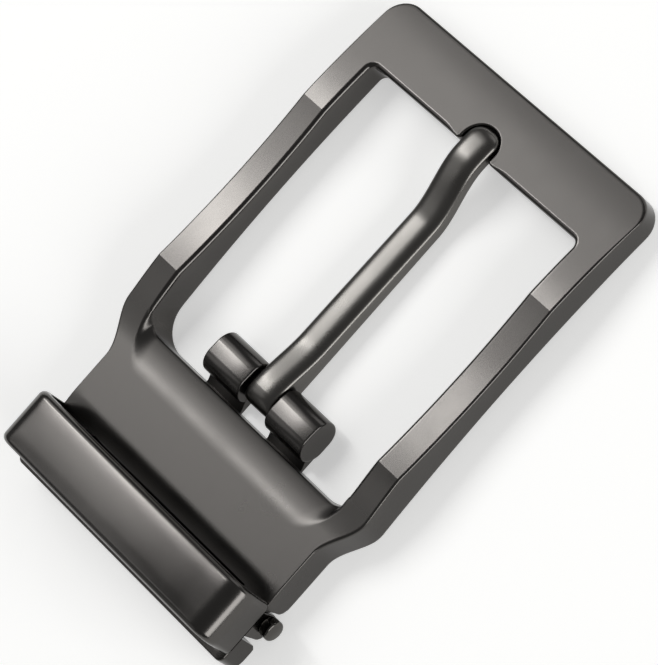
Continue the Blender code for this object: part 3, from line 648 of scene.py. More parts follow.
@dataclass
class FrameCasting(Piece):
    """Front bar, side rails, neck and plate as one ring of sections, with lugs and knuckles."""

    # Outline in plan, from the front bar to the rear end.
    bar_end_x: float = 34.2
    bar_inner_x: float = 25.9
    kink_a_x: float = 18.3
    kink_b_x: float = -6.1
    opening_end_x: float = -13.1
    half_width: float = 21.75
    opening_half: float = 17.75
    plate_half: float = 18.95
    corner_radius: float = 2.8
    bar_corner: float = 0.9
    plate_corner: float = 2.2
    back_corner: float = 4.2
    neck_start_x: float = -11.9
    neck_end_x: float = -18.6
    side_end_x: float = -26.46
    heel_x: float = -26.12
    heel_radius: float = 1.3
    bay_half: float = 14.6
    # Heights of the upper face: bar, kinks, sagging rails, shoulder and plate.
    bar_end_top: float = 2.77
    kink_a_top: float = 4.85
    kink_b_top: float = 5.4
    kink_floor: float = 2.5
    kink_reach: float = 0.001
    rail_sag: float = 0.655
    rail_tail: float = 2.4
    neck_lead_steps: int = 5
    bar_slope: float = 0.042
    plate_top: float = 4.18
    plate_fall: float = 0.004
    plate_level_x: float = -15.9
    shoulder_start: float = 0.7
    # The hollow arch under the back.
    arch_start_x: float = 30.8
    arch_end_x: float = -13.0
    arch_height: float = 1.1
    arch_power: float = 0.85
    # Rounded edges, and how near to them a row of points holds the flat sides.
    edge: float = 0.3
    rim: float = 0.6
    support: float = 0.12
    # The notch for the prong's tip, and its floor.
    notch_x: float = 26.75
    notch_radius: float = 2.5
    notch_rim: float = 0.26
    notch_mouth: float = 0.45
    notch_fan_y: float = 4.4
    mouth_fan_y: float = 1.1
    floor_top: float = 1.55
    floor_back: float = 0.4
    floor_overlap: float = 0.2
    floor_setback: float = 0.1
    floor_edge: float = 0.15
    # The plate's roll towards the opening, and how it dies out in the corners.
    roll_level: float = 3.18
    roll_length: float = 4.6
    plate_edge: float = 0.22
    roll_corner_x: float = -9.2
    roll_corner_y: float = 13.9
    roll_corner_width: float = 4.6
    roll_corner_turn: float = 75.0
    fall_start_turn: float = 84.0
    fall_end_turn: float = 48.0
    # The plate's dip under the cover.
    dip_start_x: float = -23.8
    dip_end_x: float = -26.2
    dip_depth: float = 0.75
    dip_side_y: float = 22.0
    dip_side_fade: float = 8.0
    dip_power: float = 1.6
    # The pocket in the plate's back and the bay for the lever's eye.
    back_cuts: tuple[BackCut, ...] = (
        BackCut(-16.6, -23.6, 16.0, 1.5), BackCut(-26.05, -28.0, 14.6, 6.0))
    cut_start: float = -2.0
    # The lugs at the prong's hinge.
    hinge_x: float = -9.15
    hinge_z: float = 2.1
    lug_radius: float = 2.1
    lug_front_x: float = 0.35
    lug_front_cut: float = 0.05
    lug_rear_x: float = -0.9
    lug_rear_z: float = 0.05
    lug_inner_y: float = 2.45
    lug_outer_y: float = 8.85
    lug_edge: float = 0.24
    lug_steps: int = 32
    lug_neck_side: tuple[tuple[float, float], ...] = (
        (-13.9, 0.1), (-9.15, 0.1), (-9.15, 2.0), (-10.6, 2.0), (-12.9, 0.6), (-13.9, 0.6))
    lug_neck_inner_y: float = 2.4
    lug_neck_outer_y: float = 8.6
    lug_neck_edge: float = 0.1
    # The knuckles at the clamp's pin.
    pin_x: float = -27.7
    pin_z: float = 1.5
    knuckle_radius: float = 1.5
    knuckle_front_x: float = -24.9
    knuckle_top: float = 1.9
    knuckle_inner_y: float = 14.6
    knuckle_outer_y: float = 17.35
    knuckle_edge: float = 0.12

    def top(self, x: float, y: float) -> float:
        """Height of the upper face.

        Args:
            x: Place along the buckle.
            y: Place across it.

        Returns:
            The height in millimetres.
        """
        if x >= self.kink_a_x:
            reach = x - self.kink_a_x
            length = self.bar_end_x - self.kink_a_x
            bend = (self.kink_a_top - self.bar_end_top - self.bar_slope * length) / length**2
            return self.kink_a_top - self.bar_slope * reach - bend * reach**2
        if x >= self.kink_b_x:
            t = (self.kink_a_x - x) / (self.kink_a_x - self.kink_b_x)
            line = self.kink_a_top + (self.kink_b_top - self.kink_a_top) * t
            return line - 4.0 * self.rail_sag * t * (1.0 - t)
        if x >= self.plate_level_x:
            t = (self.kink_b_x - x) / (self.kink_b_x - self.plate_level_x)
            drop = self.shoulder_start * t * (1.0 - t) ** 2 + t * t * (3.0 - 2.0 * t)
            return self.kink_b_top - (self.kink_b_top - self.plate_top) * drop
        t = (self.dip_start_x - x) / (self.dip_start_x - self.dip_end_x)
        share = ease((self.dip_side_y - abs(y)) / self.dip_side_fade)
        fall = self.plate_fall * (self.plate_level_x - x)
        return self.plate_top - fall - self.dip_depth * share * max(t, 0.0) ** self.dip_power

    def back(self, x: float) -> float:
        """Height of the back, arched under the opening and rounded up at the rear end.

        Args:
            x: Place along the buckle.

        Returns:
            The height in millimetres.
        """
        heel = self.heel_x + self.heel_radius
        if x < heel:
            reach = min(heel - x, self.heel_radius)
            return self.heel_radius - math.sqrt(self.heel_radius**2 - reach**2)
        if not self.arch_end_x < x < self.arch_start_x:
            return 0.0
        t = (self.arch_start_x - x) / (self.arch_start_x - self.arch_end_x)
        return self.arch_height * math.sin(math.pi * t) ** self.arch_power

    def bar_stations(self) -> list[FrameStation]:
        """Sections of the left half of the bar, from the middle of the notch to the corner.

        Returns:
            The stations in order. Round the notch they fan out towards the bar's front.
        """
        made = []
        fan_y, mouth_y = self.notch_fan_y, self.mouth_fan_y
        for turn in spread(0.0, 90.0, 14):
            aim = Vector((math.cos(math.radians(turn)), math.sin(math.radians(turn))))
            centre = Vector((self.notch_x, 0.0))
            wall = centre + aim * self.notch_radius
            rim = centre + aim * (self.notch_radius + 2.0 * self.notch_rim)
            outside = Vector((self.bar_end_x, fan_y * turn / 90.0))
            made.append(FrameStation(wall, rim, outside, self.notch_rim))
        mouth = self.notch_mouth
        centre = Vector((self.bar_inner_x + mouth, self.notch_radius + mouth))
        for turn in spread(-90.0, -180.0, 6):
            aim = Vector((math.cos(math.radians(turn)), math.sin(math.radians(turn))))
            share = (-90.0 - turn) / 90.0
            outside = Vector((self.bar_end_x, fan_y + mouth_y * share))
            made.append(FrameStation(
                centre + aim * mouth, centre + aim * (mouth - 2.0 * self.notch_rim), outside,
                self.notch_rim))
        first_y = self.notch_radius + mouth
        last_y = self.opening_half - self.bar_corner
        far_y = self.half_width - self.corner_radius
        for t in spread(0.0, 1.0, 24)[1:]:
            y = first_y + (last_y - first_y) * t
            rim = self.notch_rim + (self.rim - self.notch_rim) * ease(t * 6.0)
            outside = Vector(
                (self.bar_end_x, fan_y + mouth_y + (far_y - fan_y - mouth_y) * t))
            made.append(FrameStation(
                Vector((self.bar_inner_x, y)), Vector((self.bar_inner_x + 2.0 * rim, y)),
                outside, rim))
        return made

    def corner_stations(self) -> list[FrameStation]:
        """Sections round the left front corner.

        Returns:
            The stations in order, past the bar's inner corner.
        """
        made = []
        radius = self.corner_radius
        centre = Vector((
            self.bar_inner_x - self.bar_corner, self.opening_half - self.bar_corner))
        outer = arc_points(
            (self.bar_end_x - radius, self.half_width - radius), radius, 0.0, 90.0, 20)
        end_x = centre.x
        run = self.bar_end_x - radius - end_x
        outer += [Vector((self.bar_end_x - radius - run * t, self.half_width))
                  for t in spread(0.0, 1.0, 12)[1:]]
        for i, outside in enumerate(outer[1:], start=1):
            turn = math.radians(90.0 * i / (len(outer) - 1))
            aim = Vector((math.cos(turn), math.sin(turn)))
            made.append(FrameStation(
                centre + aim * self.bar_corner,
                centre + aim * (self.bar_corner + 2.0 * self.rim), outside, self.rim))
        return made

    def rail_stations(self) -> list[FrameStation]:
        """Sections of the left rail, down to where the neck begins.

        Returns:
            The stations in order, one of them on each kink.
        """
        start_x = self.bar_inner_x - self.bar_corner
        end_x = self.kink_b_x - self.rail_tail
        places = spread(start_x, self.kink_a_x, 8)[1:]
        places += spread(self.kink_a_x, self.kink_b_x, 36)[1:]
        places += spread(self.kink_b_x, end_x, 5)[1:]
        return [
            FrameStation(
                Vector((x, self.opening_half)), Vector((x, self.opening_half + 2.0 * self.rim)),
                Vector((x, self.half_width)), self.rim)
            for x in places
        ]

    def neck_outline(self) -> list[Vector]:
        """Outer outline from the rail's end round the neck and the plate's side to its rear.

        Returns:
            Points in plan.
        """
        start_x = self.kink_b_x - self.rail_tail
        points = [Vector((x, self.half_width))
                  for x in spread(start_x, self.neck_start_x, self.neck_lead_steps)]
        for t in spread(0.0, 1.0, 16)[1:]:
            x = self.neck_start_x + (self.neck_end_x - self.neck_start_x) * t
            y = self.half_width + (self.plate_half - self.half_width) * ease(t)
            points.append(Vector((x, y)))
        points += [Vector((x, self.plate_half))
                   for x in spread(self.neck_end_x, self.side_end_x, 12)[1:]]
        points += [Vector((self.side_end_x, y))
                   for y in spread(self.plate_half, self.bay_half, 5)[1:]]
        return points

    def plate_stations(self) -> list[FrameStation]:
        """Sections round the neck and along the plate to the middle plane.

        Returns:
            The stations in order. Their walls roll down towards the opening.
        """
        made = []
        outline = self.neck_outline()
        start_x = self.kink_b_x - self.rail_tail
        wall_x = self.opening_end_x + self.plate_corner
        wall_y = self.opening_half - self.plate_corner
        back_x = self.opening_end_x + self.back_corner
        back_y = self.opening_half - self.back_corner
        steps = len(outline) - 1
        lead = self.neck_lead_steps
        first_rim = Vector((start_x, self.opening_half + 2.0 * self.rim))
        for i, outside in enumerate(outline[1:], start=1):
            if i <= lead:
                t = i / lead
                wall = Vector((start_x + (wall_x - start_x) * t, self.opening_half))
                sill = Vector((start_x + (back_x - start_x) * t, self.opening_half))
                rim = first_rim.lerp(self.roll_rim(90.0), t)
                along, level = 0.0, None
            else:
                turn = 90.0 * (1.0 - (i - lead) / (steps - lead))
                along, side = math.cos(math.radians(turn)), math.sin(math.radians(turn))
                wall = Vector((wall_x - self.plate_corner * along,
                               wall_y + self.plate_corner * side))
                sill = Vector((back_x - self.back_corner * along,
                               back_y + self.back_corner * side))
                rim = self.roll_rim(turn)
                share = ease(
                    (self.fall_start_turn - turn) / (self.fall_start_turn - self.fall_end_turn))
                high = self.top(wall.x, wall.y)
                level = high + (self.roll_level - high) * share
            foot = Vector((max(outside.x, self.heel_x), outside.y))
            round_off = self.rim + (self.plate_edge - self.rim) * along
            made.append(FrameStation(wall, rim, outside, round_off, level, foot, sill))
        for t in spread(0.0, 1.0, 20)[1:]:
            wall = Vector((self.opening_end_x, wall_y * (1.0 - t)))
            rim = Vector((
                self.opening_end_x - self.roll_length, self.roll_corner_y * (1.0 - t)))
            outside = Vector((self.side_end_x, self.bay_half * (1.0 - t)))
            foot = Vector((self.heel_x, outside.y))
            sill = Vector((self.opening_end_x, back_y * (1.0 - t)))
            made.append(FrameStation(
                wall, rim, outside, self.plate_edge, self.roll_level, foot, sill))
        return made

    def roll_rim(self, turn: float) -> Vector:
        """Where the roll begins round the opening's rear corner.

        Args:
            turn: Angle of the opening's corner, 90 degrees at the rail and 0 at the plate.

        Returns:
            The place in plan.
        """
        angle = math.radians(self.roll_corner_turn * turn / 90.0)
        length = self.roll_corner_x - self.opening_end_x + self.roll_length
        return Vector((self.roll_corner_x - length * math.cos(angle),
                       self.roll_corner_y + self.roll_corner_width * math.sin(angle)))

    def section(self, at: FrameStation) -> list[Vector]:
        """Closed section at one station.

        Args:
            at: The station in plan.

        Returns:
            Points from the wall's top over the upper face, down the outside and back below.
        """
        points = []

        def add(place: Vector, z: float) -> None:
            """Add a point at a place in plan."""
            points.append(Vector((place.x, place.y, z)))

        roll = (at.rim - at.wall).length
        edge_end = at.round_off / roll
        rim_level = self.top(at.rim.x, at.rim.y)

        def rolled(share: float) -> tuple[Vector, float]:
            """Find a point of the rolled face.

            Args:
                share: Share of the way from the wall to the roll's end.

            Returns:
                Its place in plan and its height.
            """
            place = at.wall.lerp(at.rim, share)
            if at.wall_level is None:
                return place, self.top(place.x, place.y)
            return place, rim_level - (rim_level - at.wall_level) * (1.0 - share) ** 2

        for turn in spread(0.0, 90.0, 6):
            a = math.radians(turn)
            place, level = rolled(edge_end * (1.0 - math.cos(a)))
            add(place, level - at.round_off * (1.0 - math.sin(a)))
        for share in spread(edge_end, 1.0, 12)[1:]:
            add(*rolled(share))
        inward = (at.rim - at.outside).normalized()
        shoulder = at.outside + inward * self.edge
        for t in spread(0.0, 1.0, 30)[1:]:
            place = at.rim.lerp(shoulder, t)
            add(place, self.top(place.x, place.y))
        for turn in spread(0.0, 90.0, 4)[1:]:
            a = math.radians(turn)
            place = shoulder.lerp(at.outside, math.sin(a))
            add(place, self.top(place.x, place.y) - self.edge * (1.0 - math.cos(a)))
        foot = at.foot if at.foot is not None else at.outside
        high = self.top(at.outside.x, at.outside.y) - self.edge
        low = self.back(foot.x) + self.edge
        fall = (self.support / (high - low), 0.5, 1.0 - self.support / (high - low))
        for t in (*fall, 1.0):
            add(at.outside.lerp(foot, t), high + (low - high) * t)
        sole = foot + inward * self.edge
        for turn in spread(0.0, 90.0, 4)[1:]:
            a = math.radians(turn)
            place = foot.lerp(sole, 1.0 - math.cos(a))
            add(place, self.back(place.x) + self.edge * (1.0 - math.sin(a)))
        sill = at.sill if at.sill is not None else at.wall
        reach = (foot - sill).normalized()
        inner_sole = sill + reach * self.edge
        for t in (0.06, *spread(0.1, 0.9, 12), 0.94, 1.0):
            place = sole.lerp(inner_sole, t)
            add(place, self.back(place.x))
        for turn in spread(0.0, 90.0, 4)[1:]:
            a = math.radians(turn)
            place = inner_sole.lerp(sill, math.sin(a))
            add(place, self.back(place.x) + self.edge * (1.0 - math.cos(a)))
        low = self.back(sill.x) + self.edge
        high = rolled(0.0)[1] - at.round_off
        rise = min(self.support / (high - low), 0.3)
        for t in (rise, 0.5, 1.0 - rise):
            add(sill.lerp(at.wall, t), low + (high - low) * t)
        return points

    def ring_mesh(self) -> bpy.types.Mesh:
        """Draw the whole ring through the left half's sections and their mirror images.

        Returns:
            The closed ring.
        """
        half = self.bar_stations() + self.corner_stations() + self.rail_stations()
        half += self.plate_stations()
        rings = [self.section(station) for station in half]
        mirrored = [[Vector((p.x, -p.y, p.z)) for p in ring] for ring in rings[-2:0:-1]]
        return loft_mesh("frame_ring", rings + mirrored, closed=True)

    def cut_back(self, mesh: bpy.types.Mesh) -> bpy.types.Mesh:
        """Sink the pocket into the plate's back and open the bay for the lever's eye.

        Args:
            mesh: The ring.

        Returns:
            The ring with its pocket and bay.
        """
        item = bpy.data.objects.new("frame_ring", mesh)
        boxes = []
        for box in self.back_cuts:
            corners = ((box.rear_x, -box.half), (box.front_x, -box.half),
                       (box.front_x, box.half), (box.rear_x, box.half))
            boxes.append(plate_mesh(
                "cut", [Vector(p) for p in corners], self.cut_start, box.top, 0.0))
        tool = bpy.data.objects.new("back_tool", join_meshes("back_tool", boxes))
        for made in (item, tool):
            bpy.context.collection.objects.link(made)
        cut = item.modifiers.new("back", "BOOLEAN")
        cut.operation = "DIFFERENCE"
        cut.solver = "EXACT"
        cut.object = tool
        bpy.context.view_layer.update()
        graph = bpy.context.evaluated_depsgraph_get()
        result = bpy.data.meshes.new_from_object(item.evaluated_get(graph))
        item.modifiers.remove(cut)
        for made in (item, tool):
            data = made.data
            bpy.data.objects.remove(made, do_unlink=True)
            bpy.data.meshes.remove(data)
        return result

    def lug_mesh(self) -> bpy.types.Mesh:
        """Draw the left hinge lug: a long-round barrel with rounded rims and its low neck.

        Returns:
            Barrel and neck in one mesh.
        """
        outline = arc_points(
            (self.hinge_x + self.lug_front_x, self.hinge_z),
            self.lug_radius - self.lug_front_cut, -90.0, 90.0, self.lug_steps)
        outline += arc_points(
            (self.hinge_x + self.lug_rear_x, self.hinge_z + self.lug_rear_z),
            self.lug_radius, 90.0, 270.0, self.lug_steps)
        barrel = plate_mesh(
            "lug_barrel", outline, self.lug_inner_y, self.lug_outer_y, self.lug_edge,
            Draw.ACROSS, 4)
        neck = plate_mesh(
            "lug_neck", [Vector(p) for p in self.lug_neck_side], self.lug_neck_inner_y,
            self.lug_neck_outer_y, self.lug_neck_edge, Draw.ACROSS, 2)
        return join_meshes("lug", [barrel, neck])

    def knuckle_mesh(self) -> bpy.types.Mesh:
        """Draw the left knuckle behind the cover's leg, which carries the clamp pin.

        Returns:
            The knuckle.
        """
        outline = arc_points((self.pin_x, self.pin_z), self.knuckle_radius, 40.0, 270.0, 30)
        outline += [Vector((self.knuckle_front_x, 0.0)),
                    Vector((self.knuckle_front_x, self.knuckle_top))]
        return plate_mesh(
            "knuckle", outline, self.knuckle_inner_y, self.knuckle_outer_y,
            self.knuckle_edge, Draw.ACROSS, 2)

    def notch_floor_mesh(self) -> bpy.types.Mesh:
        """Draw the floor of the notch under the prong's tip.

        Returns:
            The floor, which runs a little way into the bar all round.
        """
        reach = self.notch_radius + self.floor_overlap
        front_x = self.bar_inner_x + self.floor_setback
        outline = arc_points((self.notch_x, 0.0), reach, -90.0, 90.0, 24)
        outline += [Vector((front_x, reach)), Vector((front_x, -reach))]
        return plate_mesh(
            "notch_floor", outline, self.floor_back, self.floor_top, self.floor_edge,
            Draw.UPWARDS, 2)

    def meshes(self, metal: bpy.types.Material) -> list[bpy.types.Mesh]:
        """Make the ring with its pocket, the notch's floor, both lugs and both knuckles.

        Args:
            metal: Metal for what the node trees make.

        Returns:
            The three meshes.
        """
        small = join_meshes("frame_small", [self.lug_mesh(), self.knuckle_mesh()])
        return [
            self.cut_back(self.ring_mesh()),
            self.notch_floor_mesh(),
            MirroredPair().run(small, {"Metal": metal}),
        ]

    def crease(self, mesh: bpy.types.Mesh) -> None:
        """Keep the two kinks of the upper face crisp across the rails.

        Args:
            mesh: The finished frame mesh.
        """
        bm = bmesh.new()
        bm.from_mesh(mesh)
        for edge in bm.edges:
            first, second = (vert.co / MM for vert in edge.verts)
            for kink in (self.kink_a_x, self.kink_b_x):
                far = max(abs(first.x - kink), abs(second.x - kink))
                if far < self.kink_reach and min(first.z, second.z) > self.kink_floor:
                    edge.smooth = False
        bm.to_mesh(mesh)
        bm.free()


@dataclass
class ProngCasting(Piece):
    """The prong: ring round the hidden pin, crowned shank, bend and rounded tip."""

    hinge_x: float = -9.15
    hinge_z: float = 2.1
    half: float = 2.13
    tip_x: float = 29.03
    tip_radius: float = 1.85
    shank_bottom: float = 0.68
    crest_x: float = 25.0
    crest_bottom: float = 3.05
    tip_bottom: float = 2.6
    tip_power: float = 1.6
    bend_x: float = 16.2
    side_root: float = 1.64
    side_tip: float = 1.06
    swell: float = 1.05
    swell_end_x: float = -1.6
    crown_height: float = 0.8
    flatness: float = 0.75
    tip_taper: float = 0.4
    tip_end_turn: float = 86.0
    ring_side: float = 1.92
    ring_top: float = 2.1
    ring_bore: float = 0.9
    ring_stretch: float = 1.08
    ring_end_turn: float = 322.0
    ring_blend_turn: float = 80.0
    soft: float = 0.22
    back_share: float = 0.4
    side_share: float = 0.35
    side_support: float = 0.06

    def low(self, x: float) -> float:
        """Height of the underside.

        Args:
            x: Place along the buckle.

        Returns:
            The height in millimetres.
        """
        if x <= self.crest_x:
            rise = ease((x - self.bend_x) / (self.crest_x - self.bend_x))
            return self.shank_bottom + (self.crest_bottom - self.shank_bottom) * rise
        fall = (x - self.crest_x) / (self.tip_x - self.crest_x)
        return self.crest_bottom - (self.crest_bottom - self.tip_bottom) * fall**self.tip_power

    def side(self, x: float) -> float:
        """Height of the upright side face, swollen towards the ring.

        Args:
            x: Place along the buckle.

        Returns:
            The height above the underside.
        """
        plain = self.side_root + (self.side_tip - self.side_root) * ease(
            (x - self.hinge_x) / (self.crest_x - self.hinge_x))
        swell = 1.0 - ease((x - self.hinge_x) / (self.swell_end_x - self.hinge_x))
        return plain + self.swell * swell

    def width(self, x: float) -> float:
        """Half of the width, rounded off at the tip.

        Args:
            x: Place along the buckle.

        Returns:
            Half of the width there.
        """
        reach = x - (self.tip_x - self.tip_radius)
        if reach <= 0.0:
            return self.half
        flat = self.half - self.tip_radius
        return flat + math.sqrt(max(self.tip_radius**2 - reach**2, 0.0))

    def face(
        self, half: float, low: float, edge: float, crown: float
    ) -> list[tuple[float, float]]:
        """Outline of one section across the prong.

        Args:
            half: Half of the width.
            low: Level of the flat back.
            edge: Level where the upright sides end.
            crown: Rise of the face above them.

        Returns:
            Y and level of each point, all the way round.
        """
        taper = half / self.half
        soft = self.soft * taper
        right = [(half * self.back_share, low), (half - 2.0 * soft, low)]
        for turn in spread(-90.0, 0.0, 4):
            a = math.radians(turn)
            right.append((half - soft + soft * math.cos(a), low + soft + soft * math.sin(a)))
        share = self.side_share
        right.append((half, low + share * (edge - low) + (1.0 - share) * soft))
        right.append((half, edge - self.side_support))
        for turn in spread(0.0, 90.0, 18):
            a = math.radians(turn)
            lean = math.cos(a) ** self.flatness
            right.append((half * lean, edge + crown * taper * math.sin(a)))
        left = [(-y, z) for y, z in reversed(right[:-1])]
        return right + left

    def shank_mesh(self) -> bpy.types.Mesh:
        """Draw the shank, the bend and the tip.

        Returns:
            One closed skin from the hinge to the tip.
        """
        tip_start = self.tip_x - self.tip_radius
        places = spread(self.hinge_x, self.bend_x, 40)
        places += spread(self.bend_x, tip_start, 40)[1:]
        places += [tip_start + self.tip_radius * math.sin(math.radians(a))
                   for a in spread(0.0, self.tip_end_turn, 12)[1:]]
        rings = []
        for x in places:
            low = self.low(x)
            half = self.width(x)
            edge = low + self.side(x) * (half / self.half) ** self.tip_taper
            outline = self.face(half, low, edge, self.crown_height)
            rings.append([Vector((x, y, z)) for y, z in outline])
        return loft_mesh("prong_shank", rings, closed=False)

    def ring_mesh(self) -> bpy.types.Mesh:
        """Draw the ring, which takes the shank's face round the pin to the underside.

        Returns:
            One closed skin that ends inside the shank.
        """
        edge = self.shank_bottom + self.side(self.hinge_x) - self.hinge_z
        rise = self.ring_top - self.ring_side
        rings = []
        for turn in spread(90.0, self.ring_end_turn, 44):
            share = ease((turn - 90.0) / self.ring_blend_turn)
            side = edge + (self.ring_side - edge) * share
            crown = self.crown_height + (rise - self.crown_height) * share
            a = math.radians(turn)
            along = math.cos(a) * (self.ring_stretch if turn < 270.0 else 1.0)
            ring = []
            for y, level in self.face(self.half, self.ring_bore, side, crown):
                ring.append(Vector((
                    self.hinge_x + level * along, y, self.hinge_z + level * math.sin(a))))
            rings.append(ring)
        return loft_mesh("prong_ring", rings, closed=False)

    def meshes(self, metal: bpy.types.Material) -> list[bpy.types.Mesh]:
        """Shank and ring, which take their metal later."""
        return [self.shank_mesh(), self.ring_mesh()]


@dataclass
class ClampCover(Piece):
    """The cover band of the clamp with its ears, and a leg at each side."""

    front_x: float = -25.7
    rear_x: float = -33.0
    half: float = 19.35
    leg_half: float = 18.95
    top: float = 10.55
    bend: float = 2.6
    thickness: float = 1.3
    edge: float = 0.8
    inner_edge: float = 0.2
    bow: float = 0.55
    path_step: float = 0.4
    ear_foot: float = 4.3
    crown: float = 0.085
    crest: float = -0.15
    fade_start_bends: float = 2.2
    fade_end_bends: float = 0.4
    leg_top: tuple[tuple[float, float], ...] = ((-30.4, 5.2), (-26.9, 5.2), (-26.78, 4.05))
    leg_front_x: float = -26.42
    leg_rear_x: float = -29.85
    leg_foot: float = 0.15
    leg_corner: float = 1.2
    leg_edge: float = 0.16

    def band_mesh(self, metal: bpy.types.Material) -> bpy.types.Mesh:
        """Sweep the band and its ears along the bent path.

        Args:
            metal: Metal for the node tree.

        Returns:
            The closed band.
        """
        inset = self.thickness * 0.5
        y, z = self.half - inset, self.top - inset
        x = 0.5 * (self.front_x + self.rear_x)
        path = [(x, -y, self.ear_foot), (x, -y, z), (x, y, z), (x, y, self.ear_foot)]
        mesh = bpy.data.meshes.new("cover_path")
        mesh.from_pydata([Vector(p) * MM for p in path], [(0, 1), (1, 2), (2, 3)], [])
        return BandSweep().run(mesh, {
            "Metal": metal,
            "Section Width": (self.front_x - self.rear_x) * MM,
            "Section Thickness": self.thickness * MM,
            "Bend Radius": (self.bend - inset) * MM,
            "Edge Radius": self.edge * MM,
            "Inner Radius": self.inner_edge * MM,
            "Crown": self.crown * MM,
            "Crest": self.crest,
            "Bow": self.bow * MM,
            "Half Length": self.half * MM,
            "Path Step": self.path_step * MM,
            "Middle": x * MM,
            "Fade Start": (self.half - self.fade_start_bends * self.bend) * MM,
            "Fade End": (self.half - self.fade_end_bends * self.bend) * MM,
        })

    def leg_mesh(self) -> bpy.types.Mesh:
        """Draw the left leg, slanted with its foot forward.

        Returns:
            The leg, rounded at both lower corners.
        """
        corner = self.leg_corner
        centre_z = self.leg_foot + corner
        outline = [Vector(p) for p in self.leg_top]
        outline += arc_points((self.leg_front_x - corner, centre_z), corner, 0.0, -90.0, 10)
        outline += arc_points((self.leg_rear_x + corner, centre_z), corner, -90.0, -180.0, 10)
        return plate_mesh(
            "cover_leg", outline, self.leg_half - self.thickness, self.leg_half,
            self.leg_edge, Draw.ACROSS, 3)

    def meshes(self, metal: bpy.types.Material) -> list[bpy.types.Mesh]:
        """The swept band and both legs."""
        legs = MirroredPair().run(self.leg_mesh(), {"Metal": metal})
        return [self.band_mesh(metal), legs]


@dataclass
class ClampPin(Piece):
    """The cross pin of the clamp with a low domed head outside each leg."""

    x: float = -27.7
    z: float = 1.5
    shaft: float = 0.75
    head: float = 1.28
    height: float = 1.4
    inner: float = 19.07
    dome_share: float = 0.5
    dome_sink: float = 0.03
    dome_edge_sink: float = 0.08
    dome_edge: float = 0.28
    seat_edge: float = 0.08
    seat_height: float = 0.2
    support: float = 0.1
    steps: int = 48

    def meshes(self, metal: bpy.types.Material) -> list[bpy.types.Mesh]:
        """Turn the pin in one, its metal set later.

        Args:
            metal: Not needed, as no node tree makes the pin.

        Returns:
            The pin with both heads.
        """
        end = self.inner + self.height
        edge_y = -end + self.dome_edge_sink + self.dome_edge
        profile = [(0.0, -end), (self.dome_share * self.head, -end + self.dome_sink)]
        for turn in spread(0.0, 90.0, 6):
            a = math.radians(turn)
            radius = self.head - self.dome_edge * (1.0 - math.sin(a))
            profile.append((radius, edge_y - self.dome_edge * math.cos(a)))
        profile += [(self.head, -self.inner - self.seat_height),
                    (self.head - self.seat_edge, -self.inner)]
        profile += [(self.shaft, -self.inner), (self.shaft, -self.inner + self.support)]
        mirrored = [(radius, -y) for radius, y in reversed(profile)]
        pin = turned_mesh("clamp_pin_turned", profile + mirrored, self.x, self.z, self.steps)
        return [pin]


